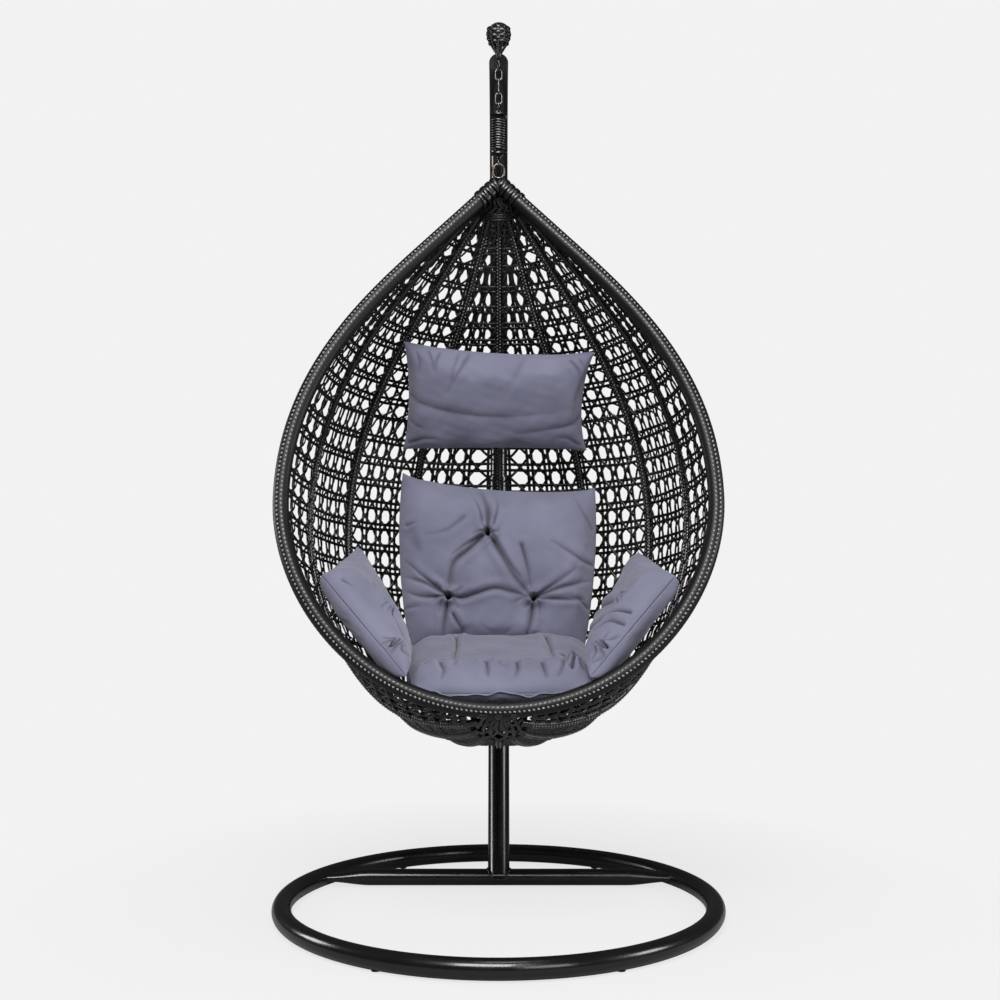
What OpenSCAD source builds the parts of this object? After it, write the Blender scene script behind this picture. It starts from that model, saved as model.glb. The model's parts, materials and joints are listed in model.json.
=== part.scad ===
// Hanging egg chair: a cane basket on a spring and chain, under a curved steel stand.
// Millimetres, +Z up, the open front faces -Y. The origin is on the floor, under the
// middle of the whole chair. Lengths along Y below are counted from the ring's centre.

/* [Base] */
// Radius of the floor ring, to the middle of its tube
ring_r = 472; // [440:2:520]
// Outer diameter of the floor ring's tube
ring_tube_d = 42.4; // [34:0.2:48]
// Wall of the floor ring's tube and of the cross tube
floor_wall = 2; // [1.5:0.25:3]
// Outer diameter of the cross tube
cross_d = 38; // [30:0.5:42]
// Thickness of a floor pad under the ring
foot_t = 1.2; // [1:0.2:3]
// Diameter of a floor pad
foot_d = 18; // [14:1:24]
// Number of floor pads
foot_n = 6; // [4:1:8]

/* [Pole] */
// Radius of the pole's long curve
pole_r = 1614; // [1600:2:1640]
// How far the pole's rearmost point lies below the crook's level end
pole_belly_drop = 956; // [945:1:970]
// Outer diameter of the lower pole
lower_d = 50.8; // [48:0.2:56]
// Outer diameter of the upper pole
upper_d = 42.4; // [38:0.2:44]
// Wall of the upper pole
upper_wall = 2; // [1.5:0.1:3]
// Gap all round between the upper pole and its socket
socket_gap = 0.3; // [0.2:0.05:0.6]
// How far the socket's mouth lies above the pole's rearmost point
socket_up = 45; // [-20:5:180]
// How deep the upper pole goes into the lower pole
socket_depth = 150; // [110:5:200]
// Diameter of the two socket bolts
bolt_d = 8; // [6:0.5:10]
// Distance between the two socket bolts
bolt_pitch = 70; // [50:5:80]
// Height of the crook's level end, to the middle of its tube
crook_top_z = 1876; // [1860:1:1895]
// Rise of the crook, from the end of the pole's long curve to its level end
crook_rise = 136; // [125:1:150]
// How far the crook's end lies behind the ring's centre
crook_tip_y = 38; // [36:0.5:46]

/* [Hanger] */
// Radius of the hanger eye, to the middle of its rod
eye_r = 19; // [17:0.5:19]
// Diameter of the hanger eye's rod
eye_d = 7; // [6:0.5:7]
// How far below the middle of the crook's end the first link touches the eye
hang_drop = 28; // [26:1:29]
// Diameter of the chain's wire
link_d = 5; // [4:0.25:5]
// Outer width of a link
link_w = 19; // [18.5:0.5:22]
// Outer length of the first and third link
link_l = 29; // [28:0.5:34]
// Outer length of the long second link
long_link_l = 44; // [40:1:50]
// Gap between a link and what it hangs on
link_gap = 0.3; // [0.2:0.05:0.4]

/* [Spring] */
// Outer diameter of the coil
coil_d = 37.5; // [34:0.5:42]
// Diameter of the coil's wire
coil_wire = 4.8; // [4:0.1:4.9]
// Number of turns
coil_turns = 12; // [8:1:12]
// Rise of one turn
coil_pitch = 5.6; // [5.5:0.1:7]
// Diameter of the wire of both spring bails
bail_d = 4.5; // [3.5:0.25:5]
// Radius of a bail's small eye, to the middle of its wire
bail_eye_r = 8.5; // [8:0.25:9]
// Height of a bail, from its plate to the middle of its eye
bail_l = 19; // [17:0.5:24]
// Thickness of a spring plate
plate_t = 2.5; // [2:0.25:4]

/* [Swivel] */
// Diameter of the swivel ring's wire
swivel_wire = 6.5; // [6:0.25:7]
// Outer width of the swivel ring
swivel_w = 31; // [29:1:34]
// Outer length of the swivel ring
swivel_l = 37; // [36:1:44]

/* [Finial] */
// Widest diameter of the woven bud
bud_d = 60; // [50:1:66]
// Height of the woven bud
bud_h = 76; // [66:1:84]
// Thickness of the bud's canes
bud_cane = 4; // [3:0.25:5]
// Number of upright canes in the bud
bud_n = 7; // [5:1:9]

/* [Basket] */
// How far the basket's apex, where the opening's two sides meet, lies below the swivel ring
apex_drop = 9; // [6:0.2:12]
// Tilt of the opening, bottom forward
rim_tilt = 16.4; // [15:0.1:18]
// Length of the opening, from the apex to its lowest point
rim_len = 1157; // [1130:1:1180]
// Half of the opening's greatest width
rim_w = 448.5; // [430:0.5:455]
// How far above the opening's lowest point its greatest width lies
rim_w_up = 438; // [420:1:455]
// How far the basket's back lies behind its apex
back_y = 375; // [350:1:380]
// How far the basket's rearmost point lies above the opening's lowest point
back_up = 370; // [350:5:390]
// How far the underside lies below the opening's lowest point
belly_drop = 115; // [100:1:125]
// Diameter of the wrapped rim
rim_d = 34; // [28:0.5:38]
// Width of a wrapped rib
rib_w = 16; // [12:0.5:18]
// Width of a wrapped cross hoop
hoop_w = 10; // [8:0.5:16]
// Thickness of the woven wall
wall_t = 6; // [4:0.5:8]
// Clearance between a wall panel and the bars that it is tied to
weave_gap = 0.6; // [0.5:0.1:1.5]
// Width of the woven bands between two openings of the wall
cane_w = 16; // [10:1:22]
// How much of each opening's side its slanted corners take
cane_corner = 0.28; // [0.15:0.01:0.4]

/* [Cushions] */
// How much narrower the head pillow is than the opening, on each side
head_side = 233.5; // [228:0.5:250]
// Height of the head pillow
head_h = 264; // [230:2:268]
// Thickness of the head pillow
head_t = 96; // [70:2:105]
// How far the head pillow's middle lies in front of the basket's rearmost point
head_in = 211; // [207:1:225]
// How far the head pillow's middle lies above the opening's lowest point
head_up = 659; // [640:1:675]
// Lean of the head pillow; 90 is upright and more leans its top forwards
head_lean = 120; // [112:1:124]
// How much narrower the back cushion is than the opening, on each side
back_pad_side = 220.5; // [217:0.5:238]
// Height of the back cushion
back_pad_h = 385; // [350:5:390]
// Thickness of the back cushion
back_pad_t = 136; // [100:2:140]
// How far the back cushion's middle lies in front of the basket's rearmost point
back_pad_in = 166; // [160:1:172]
// How far the back cushion's middle lies above the opening's lowest point
back_pad_up = 287; // [282:1:300]
// Lean of the back cushion; 90 is upright and less leans its top backwards
back_pad_lean = 79; // [77:1:81]
// How much narrower the seat cushion is than the two arm bolsters' middles, on each side
seat_side = 100; // [98:1:112]
// Depth of the seat cushion
seat_l = 410; // [380:5:415]
// Thickness of the seat cushion
seat_t = 96; // [70:2:100]
// How far the seat cushion's middle lies behind the opening's lowest point
seat_in = 241; // [235:1:246]
// How far the seat cushion's middle lies above the opening's lowest point
seat_up = 44; // [40:1:48]
// Depth of an arm bolster, from front to back
arm_l = 310; // [280:5:320]
// Height of an arm bolster along its slope
arm_w = 235; // [200:5:240]
// Thickness of an arm bolster
arm_t = 96; // [70:2:100]
// How far an arm bolster's middle lies inside the opening's greatest width
arm_side = 166.5; // [162:0.5:171]
// How far an arm bolster's middle lies behind the opening's lowest point
arm_in = 199; // [192:1:207]
// How far an arm bolster's middle lies above the opening's lowest point
arm_up = 172; // [168:1:180]
// Slope of an arm bolster
arm_lean = 54; // [52:1:58]
// Turn of an arm bolster in its own plane, lower end forwards
arm_turn = 5; // [0:1:8]

/* [Hidden] */
$fn = 48;

steel_color = [0.10, 0.10, 0.11];
zinc_color = [0.72, 0.72, 0.70];
brass_color = [0.45, 0.40, 0.33];
cane_color = [0.07, 0.06, 0.07];
cloth_color = [0.50, 0.50, 0.60];
rubber_color = [0.05, 0.05, 0.05];

// The pole lies in the plane x = 0, on an arc about the point [arc_y, pole_belly_z]. Its
// crook is an arc that starts along the pole's curve and ends level.
ring_z = foot_t + ring_tube_d / 2;
pole_belly_z = crook_top_z - pole_belly_drop;
crook_z = crook_top_z - crook_rise;
crook_angle = asin((crook_z - pole_belly_z) / pole_r);
crook_r = crook_rise / (1 - sin(crook_angle));
arc_y = crook_tip_y - (pole_r - crook_r) * cos(crook_angle);
foot_angle = -asin((pole_belly_z - ring_z) / pole_r);
socket_angle = asin(socket_up / pole_r);
insert_angle = socket_angle - socket_depth / pole_r * 180 / PI;
cross_y = arc_y + pole_r * cos(foot_angle);

// The middle of the whole chair, front to back, from the ring's centre
ring_front = -ring_r - ring_tube_d / 2;
pole_rear = arc_y + pole_r + lower_d / 2;
middle_y = (ring_front + pole_rear) / 2;

// Puts a piece that is drawn about the ring's centre into the chair's frame
module place() {
  translate([0, -middle_y, 0]) children();
}

function unit(v) = v / norm(v);
function mix(a, b, s) = a + (b - a) * s;

// ---------------------------------------------------------------- floor ring
module ring_solid() {
  translate([0, 0, ring_z]) rotate_extrude($fn = 180) translate([ring_r, 0]) circle(d = ring_tube_d, $fn = 48);
}

module base_ring() {
  color(steel_color) place() translate([0, 0, ring_z]) rotate_extrude($fn = 180) translate([ring_r, 0])
    difference() {
      circle(d = ring_tube_d, $fn = 48);
      circle(d = ring_tube_d - 2 * floor_wall, $fn = 48);
    }
}

// Round pads that grip the tube from below and stand on the floor
module floor_pads() {
  color(rubber_color) place() difference() {
    for (i = [0 : foot_n - 1]) rotate([0, 0, 360 * i / foot_n])
      translate([ring_r, 0, 0]) cylinder(d = foot_d, h = foot_t + foot_d / 6);
    ring_solid();
  }
}

module cross_bar(less = 0) {
  half = sqrt(ring_r * ring_r - cross_y * cross_y);
  translate([-half, cross_y, ring_z]) rotate([0, 90, 0]) cylinder(d = cross_d - less, h = 2 * half);
}

module cross_tube() {
  color(steel_color) place() difference() {
    cross_bar();
    cross_bar(less = 2 * floor_wall);
    ring_solid();
  }
}

// ---------------------------------------------------------------- pole
// A tube bent to an arc in the plane x = 0, from one angle above the level to another
module bent_tube(r, d, bore, from, to) {
  rotate([0, 90, 0]) rotate([0, 0, 90 + from]) rotate_extrude(angle = to - from, $fn = 720)
    translate([r, 0]) difference() {
      circle(d = d, $fn = 48);
      if (bore > 0) circle(d = bore, $fn = 48);
    }
}

module pole_arc(d, bore, from, to) {
  translate([0, arc_y, pole_belly_z]) bent_tube(pole_r, d, bore, from, to);
}

// A place on the pole's long curve: x across, y outwards, z along the pole
module on_pole(angle) {
  translate([0, arc_y + pole_r * cos(angle), pole_belly_z + pole_r * sin(angle)])
    rotate([angle, 0, 0]) children();
}

bolt_step = bolt_pitch / pole_r * 180 / PI;
bolt_angles = [for (i = [0, 1]) (socket_angle + insert_angle) / 2 + (i - 0.5) * bolt_step];
bolt_gap = 0.2;

module bolt_holes() {
  for (a = bolt_angles) on_pole(a) rotate([0, 90, 0])
    cylinder(d = bolt_d + 2 * bolt_gap, h = 2 * lower_d, center = true);
}

module lower_pole() {
  color(steel_color) place() difference() {
    pole_arc(lower_d, upper_d + 2 * socket_gap, foot_angle, socket_angle);
    cross_bar();
    bolt_holes();
  }
}

module upper_pole() {
  bore = upper_d - 2 * upper_wall;
  color(steel_color) place() {
    difference() {
      pole_arc(upper_d, bore, insert_angle, crook_angle);
      bolt_holes();
    }
    translate([0, crook_tip_y, crook_top_z - crook_r]) bent_tube(crook_r, upper_d, bore, crook_angle, 90);
  }
}

// Button-head bolts right through both tubes, each with its cap nut
module socket_bolts() {
  head = bolt_d * 1.8;
  face = lower_d / 2;
  color(zinc_color) place() for (a = bolt_angles) on_pole(a) rotate([0, 90, 0]) {
    translate([0, 0, -face]) cylinder(d = bolt_d, h = 2 * face);
    translate([0, 0, -face - bolt_d * 0.5]) cylinder(d1 = bolt_d, d2 = head, h = bolt_d * 0.5);
    translate([0, 0, face]) cylinder(d = head, h = bolt_d * 0.5, $fn = 6);
    translate([0, 0, face + bolt_d * 0.5]) cylinder(d1 = head * 0.8, d2 = bolt_d * 0.7, h = bolt_d * 0.5);
  }
}

// ---------------------------------------------------------------- hanger
plug_gap = 0.6;
plug_stem = 10;
plug_cap = 4;
hang_z = crook_top_z - hang_drop;
eye_z = hang_z - eye_d / 2 + eye_r;
shank_l = crook_tip_y + plug_stem - eye_r;

module eye_shank(gap = 0) {
  translate([0, eye_r, eye_z]) rotate([-90, 0, 0]) cylinder(d = eye_d + 2 * gap, h = shank_l);
}

// Domed plug in the crook's open end, bored for the hanger eye
module end_plug() {
  bore = upper_d - 2 * upper_wall;
  color(rubber_color) place() difference() {
    translate([0, crook_tip_y, crook_top_z]) rotate([90, 0, 0]) {
      translate([0, 0, -plug_stem]) cylinder(d = bore - 2 * plug_gap, h = plug_stem);
      cylinder(d1 = upper_d, d2 = upper_d * 0.86, h = plug_cap);
    }
    eye_shank(gap = plug_gap);
  }
}

// Eye bolt: its ring stands fore and aft and carries the first link
module hanger_eye() {
  color(zinc_color) place() {
    translate([0, 0, eye_z]) rotate([0, 90, 0]) rotate_extrude() translate([eye_r, 0]) circle(d = eye_d);
    eye_shank();
  }
}

// Woven bud: canes that rise from a bound point, three bands, and loops that close the top
bud_knot_d = 12;
bud_y = -eye_r - eye_d / 2 - bud_knot_d / 2;
bud_z = eye_z + bud_knot_d / 3;
module finial_bud() {
  loop_r = bud_d / 2 - bud_cane;
  widest = bud_h - loop_r - bud_cane / 2;
  lean = atan(loop_r / widest);
  color(cane_color) place() translate([0, bud_y, bud_z]) {
    sphere(d = bud_knot_d, $fn = 24);
    for (i = [0 : bud_n - 1]) rotate([0, 0, 360 * i / bud_n]) rotate([0, lean, 0])
      translate([0, 0, bud_knot_d / 4]) cylinder(d = bud_cane, h = widest / cos(lean) - bud_knot_d / 4, $fn = 16);
    for (s = [0.5, 0.75, 1]) translate([0, 0, widest * s]) rotate_extrude($fn = 32)
      translate([loop_r * s, 0]) circle(d = bud_cane * 1.4, $fn = 16);
    for (a = [20, 110]) translate([0, 0, widest]) rotate([0, 0, a]) rotate([90, 0, 0])
      rotate_extrude(angle = 180, $fn = 32) translate([loop_r, 0]) circle(d = bud_cane, $fn = 16);
  }
}

// ---------------------------------------------------------------- chain
// Each link hangs on the one above it. A pivot is the middle of the wire hung on.
link_1_top = hang_z + link_gap + link_d;
pivot_2 = link_1_top - link_l + link_d / 2;
link_2_top = pivot_2 + link_d / 2 + link_gap + link_d;
pivot_3 = link_2_top - long_link_l + link_d / 2;
link_3_top = pivot_3 + link_d / 2 + link_gap + link_d;
pivot_4 = link_3_top - link_l + link_d / 2;

// Oval link in the plane y = 0, hanging down from its top
module link(top, length, width = link_w, wire = link_d) {
  r = (width - wire) / 2;
  straight = length - width;
  translate([0, 0, top - width / 2]) rotate([90, 0, 0]) {
    rotate_extrude(angle = 180) translate([r, 0]) circle(d = wire);
    translate([0, -straight, 0]) rotate([0, 0, 180]) rotate_extrude(angle = 180)
      translate([r, 0]) circle(d = wire);
    for (s = [-1, 1]) translate([s * r, 0, 0]) rotate([90, 0, 0]) cylinder(d = wire, h = straight);
  }
}

module chain_link_1() {
  color(zinc_color) place() link(link_1_top, link_l);
}

module chain_link_2() {
  color(zinc_color) place() rotate([0, 0, 90]) link(link_2_top, long_link_l);
}

module chain_link_3() {
  color(zinc_color) place() link(link_3_top, link_l);
}

// ---------------------------------------------------------------- spring
bail_eye_z = pivot_4 + link_d / 2 + link_gap + bail_d / 2 - bail_eye_r;
top_plate_z = bail_eye_z - bail_l;
coil_r = (coil_d - coil_wire) / 2;
coil_top = top_plate_z - plate_t;
bend_r = coil_wire * 0.6;
lead = coil_wire + bend_r;
coil_h = coil_turns * coil_pitch + 2 * lead;
coil_bottom = coil_top - coil_h;
low_eye_z = coil_bottom - plate_t - bail_l;

// A plate that closes the spring's end, with a small eye on two slanted legs that meet in a knuckle
bail_lean = 40;

module bail() {
  leg = (bail_l - bail_eye_r + plate_t / 2) / cos(bail_lean);
  translate([0, 0, -bail_l - plate_t]) cylinder(d = coil_d, h = plate_t);
  rotate([0, 90, 0]) rotate_extrude() translate([bail_eye_r, 0]) circle(d = bail_d);
  translate([0, 0, -bail_eye_r]) {
    sphere(d = 2 * bail_d);
    for (s = [-1, 1]) rotate([0, 180 - s * bail_lean, 0]) cylinder(d = bail_d, h = leg);
  }
}

module upper_bail() {
  color(zinc_color) place() translate([0, 0, bail_eye_z]) bail();
}

module lower_bail() {
  color(zinc_color) place() translate([0, 0, low_eye_z]) mirror([0, 0, 1]) bail();
}

// A tube or bar through a list of rings of points, all with as many points.
// The points of a ring run clockwise when seen along the way the rings go.
module skin(rings, closed = false) {
  n = len(rings);
  m = len(rings[0]);
  points = [for (ring = rings) each ring];
  function at(i, j) = (i % n) * m + j % m;
  sides = [for (i = [0 : (closed ? n : n - 1) - 1]) for (j = [0 : m - 1])
    each [[at(i, j), at(i + 1, j + 1), at(i, j + 1)], [at(i, j), at(i + 1, j), at(i + 1, j + 1)]]];
  caps = closed ? [] : [for (j = [1 : m - 2])
    each [[at(0, 0), at(0, j), at(0, j + 1)], [at(n - 1, 0), at(n - 1, j + 1), at(n - 1, j)]]];
  polyhedron(points = points, faces = concat(sides, caps), convexity = 6);
}

// The coil's middle line, as [turn angle, height below the top plate]
coil_rings = 8;
lead_angle = bend_r / coil_r * 180 / PI;
coil_end = coil_turns * 360;
coil_way = concat(
  [[0, 0], [0, coil_wire], [lead_angle * 0.3, coil_wire + bend_r * 0.7]],
  [for (i = [0 : coil_turns * coil_rings])
    [lead_angle + i * 360 / coil_rings, lead + coil_pitch * i / coil_rings]],
  [[lead_angle * 1.7 + coil_end, coil_h - coil_wire - bend_r * 0.7],
   [lead_angle * 2 + coil_end, coil_h - coil_wire], [lead_angle * 2 + coil_end, coil_h]]);

function coil_point(w) = [coil_r * cos(w[0]), coil_r * sin(w[0]), coil_top - w[1]];
coil_line = [for (w = coil_way) coil_point(w)];

function along(line, i) =
  unit(line[min(i + 1, len(line) - 1)] - line[max(i - 1, 0)]);

coil_skin = [for (i = [0 : len(coil_line) - 1])
  let (last = len(coil_line) - 1,
       t = i <= 1 || i >= last - 1 ? [0, 0, -1] : along(coil_line, i),
       e = [cos(coil_way[i][0]), sin(coil_way[i][0]), 0],
       f = cross(t, e))
  [for (j = [0 : 5]) coil_line[i] + coil_wire / 2 * (cos(60 * j) * e + sin(60 * j) * f)]];

// Least gap between parts of the coil that are half a turn or more apart
coil_gap = min([for (i = [0 : len(coil_line) - 1]) for (j = [i + coil_rings / 2 : 1 : len(coil_line) - 1])
  norm(coil_line[i] - coil_line[j])]) - coil_wire;
echo(least_gap_between_coils_mm = coil_gap);

module spring() {
  color(zinc_color) place() skin(coil_skin);
}

// ---------------------------------------------------------------- swivel ring
swivel_top = low_eye_z - bail_eye_r + bail_d / 2 + link_gap + swivel_wire;

module swivel_ring() {
  color(brass_color) place() link(swivel_top, swivel_l, swivel_w, swivel_wire);
}

// ---------------------------------------------------------------- basket surface
// The woven wall runs from the flat, tilted opening to a curved line down the middle of
// the back. t goes from the apex, 0, to the lowest point of the opening, 1. q goes across
// the wall, from one side of the opening, -1, over the back, 0, to the other side, 1.
function bezier(p, s) = pow(1 - s, 3) * p[0] + 3 * pow(1 - s, 2) * s * p[1]
  + 3 * (1 - s) * s * s * p[2] + pow(s, 3) * p[3];
function curve(parts, n) = [for (i = [0 : len(parts) - 1])
  for (k = [(i == 0 ? 0 : 1) : n]) bezier(parts[i], k / n)];
function runs(line) = [for (i = 0, s = 0; i < len(line); i = i + 1,
  s = s + (i < len(line) ? norm(line[i] - line[i - 1]) : 0)) s];

// The apex, and the opening's lowest point
apex_z = swivel_top - swivel_l - apex_drop;
low_y = -rim_len * sin(rim_tilt);
low_z = apex_z - rim_len * cos(rim_tilt);

// Half of the opening in its own plane: across, and down from the apex
rim_w_at = rim_len - rim_w_up;
shoulder_at = rim_w * 0.388;
rim_parts = [
  [[0, 0], [1, 1] * shoulder_at / 3, [1, 1] * shoulder_at * 2 / 3, [1, 1] * shoulder_at],
  [[1, 1] * shoulder_at, [1, 1] * rim_w * 0.687, [rim_w, rim_w_at - rim_w * 0.553], [rim_w, rim_w_at]],
  [[rim_w, rim_w_at], [rim_w, rim_w_at + rim_w * 0.457], [rim_w * 0.609, rim_len], [0, rim_len]]
];
rim_line = curve(rim_parts, 60);
rim_runs = runs(rim_line);
rim_run = rim_runs[len(rim_runs) - 1];
rim_across = [for (i = [0 : len(rim_line) - 1]) [rim_runs[i], rim_line[i][0]]];
rim_down = [for (i = [0 : len(rim_line) - 1]) [rim_runs[i], rim_line[i][1]]];

// The back's middle line, as [y, z]: how far its curves hold their course from where they
// meet, and where the underside is level
apex_lean = 38;
crown_hold = 300;
back_hold = 260;
lip_hold = 60;
belly_y = low_y + 357;
belly_rear_hold = 200;
belly_front_hold = 160;
back_z = low_z + back_up;
belly_z = low_z - belly_drop;
back_parts = [
  [[0, apex_z], [crown_hold * sin(apex_lean), apex_z - crown_hold * cos(apex_lean)],
   [back_y, back_z + crown_hold], [back_y, back_z]],
  [[back_y, back_z], [back_y, back_z - back_hold], [belly_y + belly_rear_hold, belly_z], [belly_y, belly_z]],
  [[belly_y, belly_z], [belly_y - belly_front_hold, belly_z], [low_y, low_z - lip_hold], [low_y, low_z]]
];
back_line = curve(back_parts, 60);
back_runs = runs(back_line);
back_run = back_runs[len(back_runs) - 1];
back_ys = [for (i = [0 : len(back_line) - 1]) [back_runs[i], back_line[i][0]]];
back_zs = [for (i = [0 : len(back_line) - 1]) [back_runs[i], back_line[i][1]]];

function back_at(t) = [0, lookup(t * back_run, back_ys), lookup(t * back_run, back_zs)];
// Places on the opening keep step with those on the back, and start at the same pace
pace = back_run / rim_run;
function rim_step(t) = (t * pace - (pace - 1) * pow(t, 3)) * rim_run;
function rim_x(t) = lookup(rim_step(t), rim_across);
function rim_mid(t) = [0, -lookup(rim_step(t), rim_down) * sin(rim_tilt),
  apex_z - lookup(rim_step(t), rim_down) * cos(rim_tilt)];

// Sections are ellipses near the apex and squarer lower down
function ease(s) = s * s * (3 - 2 * s);
function power(t) = 2 / (2 + 0.8 * ease(min(max((t - 0.12) / 0.33, 0), 1)));
function wall(t, q) =
  let (side = rim_x(t) * sign(q) * pow(abs(sin(90 * q)), power(t)),
       deep = pow(max(cos(90 * q), 0), power(t)))
  [side, 0, 0] + mix(rim_mid(t), back_at(t), deep);

// Directions on the wall: across, down, and out of it
step = 0.004;
function across(t, q) = let (s = min(max(t, 0.03), 0.97))
  abs(q) > 0.999 ? sign(q) * unit(rim_mid(s) - back_at(s))
                 : unit(wall(s, q + step) - wall(s, q - step));
function down(t, q) = t < 0.001 ? [sign(q), 0, 0] : t > 0.999 ? [-sign(q), 0, 0]
  : unit(wall(min(t + step, 1), q) - wall(max(t - step, 0), q));
function out(t, q) = unit(cross(across(t, q), down(t, q)));
function down_pace(t, q) = norm(wall(t + step, q) - wall(t - step, q)) / (2 * step);

// ---------------------------------------------------------------- basket frame
rib_b = 0.223;
rib_c = 0.51;
rib_d = 0.755;
rib_q = [-1, -rib_d, -rib_c, -rib_b, 0, rib_b, rib_c, rib_d, 1];
// Where the wall's three bands start and end
band_ts = [0.10, 0.325, 0.63, 0.93];
band_rows = [4, 6, 6];
rib_start = 0.045;
rib_end = 0.955;

hoop_reach = hoop_w / 2 + weave_gap;
function band_top(b, q) = band_ts[b] + (b == 0 ? 0 : hoop_reach / down_pace(band_ts[b], q));
function band_bottom(b, q) = band_ts[b + 1] - (b == 2 ? 0 : hoop_reach / down_pace(band_ts[b + 1], q));
function row_t(b, q, v) = mix(band_top(b, q), band_bottom(b, q), v);
function bar_ts(q) = [for (b = [0 : 2]) for (k = [0 : band_rows[b]]) row_t(b, q, k / band_rows[b])];

// Six-sided ring with flat sides, across and out of the wall
function bar_ring(p, e, f, half, flat, high) = [
  p - half * e - flat * f, p - high * f, p + half * e - flat * f,
  p + half * e + flat * f, p + high * f, p - half * e + flat * f];

module rib(i) {
  q = rib_q[i];
  ts = concat([rib_start], bar_ts(q), [rib_end]);
  color(cane_color) place() skin([for (t = ts)
    bar_ring(wall(t, q), across(t, q), -out(t, q), rib_w / 2, wall_t * 0.55, rib_w / 2)]);
}
module rib_1() { rib(1); }
module rib_2() { rib(2); }
module rib_3() { rib(3); }
module rib_4() { rib(4); }
module rib_5() { rib(5); }
module rib_6() { rib(6); }
module rib_7() { rib(7); }

// The wrapped tube round the opening, with a flat towards the wall all the way
rim_ts = concat([for (t = [0.02, 0.06]) t], bar_ts(1), [0.955, 0.98]);
rim_sides = 8;
function rim_ring(t) = let (e = across(t, 1), f = unit(cross(down(t, 1), e)),
    r = rim_d / 2 / cos(180 / rim_sides))
  [for (j = [0 : rim_sides - 1]) let (a = 360 * (j + 0.5) / rim_sides)
    wall(t, 1) + r * (cos(a) * e + sin(a) * f)];
function mirrored(ring) = [for (p = ring) [-p[0], p[1], p[2]]];

module rim() {
  n = len(rim_ts);
  half = [for (t = rim_ts) rim_ring(t)];
  other = [for (i = [n - 1 : -1 : 0]) mirrored(half[i])];
  color(cane_color) place() skin(concat([rim_ring(0)], half, [rim_ring(1)], other), closed = true);
}

// ---------------------------------------------------------------- woven wall
// A plate between two grids of points, the first on the plate's face, the second behind
// it. Where frame is above 0, each cell that is large enough has an eight-sided opening.
module plate(face, rear, frame = 0) {
  nv = len(face) - 1;
  nu = len(face[0]) - 1;
  count = (nu + 1) * (nv + 1);
  cells = [for (j = [0 : nv - 1]) for (i = [0 : nu - 1]) [i, j]];
  function size(i, j) = [
    norm(face[j][i + 1] + face[j + 1][i + 1] - face[j][i] - face[j + 1][i]) / 2,
    norm(face[j + 1][i] + face[j + 1][i + 1] - face[j][i] - face[j][i + 1]) / 2];
  function is_open(c) = frame > 0 && min(size(c[0], c[1])) > 1.7 * frame;
  open_cells = [for (c = cells) if (is_open(c)) c];
  shut_cells = [for (c = cells) if (!is_open(c)) c];
  function blend(grid, c, s) = mix(
    mix(grid[c[1]][c[0]], grid[c[1]][c[0] + 1], s[0]),
    mix(grid[c[1] + 1][c[0]], grid[c[1] + 1][c[0] + 1], s[0]), s[1]);
  function corners(c) = let (
      a = frame / 2 / size(c[0], c[1])[0], b = frame / 2 / size(c[0], c[1])[1],
      x = (1 - 2 * a) * cane_corner, y = (1 - 2 * b) * cane_corner)
    [[a + x, b], [1 - a - x, b], [1 - a, b + y], [1 - a, 1 - b - y],
     [1 - a - x, 1 - b], [a + x, 1 - b], [a, 1 - b - y], [a, b + y]];
  points = concat([for (row = face) each row], [for (row = rear) each row],
    [for (c = open_cells) each concat([for (s = corners(c)) blend(face, c, s)],
                                      [for (s = corners(c)) blend(rear, c, s)])]);
  function at(i, j) = j * (nu + 1) + i;
  function outer(c) = [at(c[0], c[1]), at(c[0] + 1, c[1]), at(c[0] + 1, c[1] + 1), at(c[0], c[1] + 1)];
  // Both sides of the plate from one list of triangles: [outer corners, inner corners]
  function both(tri, shift) = [[tri[0], tri[2], tri[1]],
    [for (k = [0 : 2]) tri[k] + (tri[k] < count ? count : shift)]];
  shut = [for (c = shut_cells) let (o = outer(c))
    each concat(both([o[0], o[1], o[2]], 0), both([o[0], o[2], o[3]], 0))];
  open = [for (n = [0 : 1 : len(open_cells) - 1]) let (o = outer(open_cells[n]), w = 2 * count + 16 * n)
    each concat(
      [for (k = [0 : 3]) let (p = o[k], r = o[(k + 1) % 4], a = w + 2 * k, b = w + 2 * k + 1,
          d = w + (2 * k + 2) % 8)
        each concat(both([p, r, b], 8), both([p, b, a], 8), both([r, d, b], 8))],
      [for (k = [0 : 7]) let (a = w + k, b = w + (k + 1) % 8)
        each [[a, b + 8, b], [a, a + 8, b + 8]]])];
  border = concat([for (i = [0 : nu - 1]) [at(i, 0), at(i + 1, 0)]],
    [for (j = [0 : nv - 1]) [at(nu, j), at(nu, j + 1)]],
    [for (i = [nu - 1 : -1 : 0]) [at(i + 1, nv), at(i, nv)]],
    [for (j = [nv - 1 : -1 : 0]) [at(0, j + 1), at(0, j)]]);
  edge = [for (s = border) each [[s[0], s[1], s[1] + count], [s[0], s[1] + count, s[0] + count]]];
  polyhedron(points = points, faces = concat(shut, open, edge), convexity = 8);
}

// A point of a wall panel, u across it and v down it, on the wall or at a rib's flat side
function panel_half(i) = (abs(rib_q[i]) == 1 ? rim_d / 2 + weave_gap : rib_w / 2) + weave_gap;
function panel_q(f, u) = mix(rib_q[f], rib_q[f + 1], u);
function panel_point(f, u, t) = let (q = panel_q(f, u))
  wall(t, q) + across(t, q) * (u == 0 ? panel_half(f) : u == 1 ? -panel_half(f + 1) : 0);
function panel_columns(b, f) = b > 0 || f == 0 || f == 7 ? 2 : 1;

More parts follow.
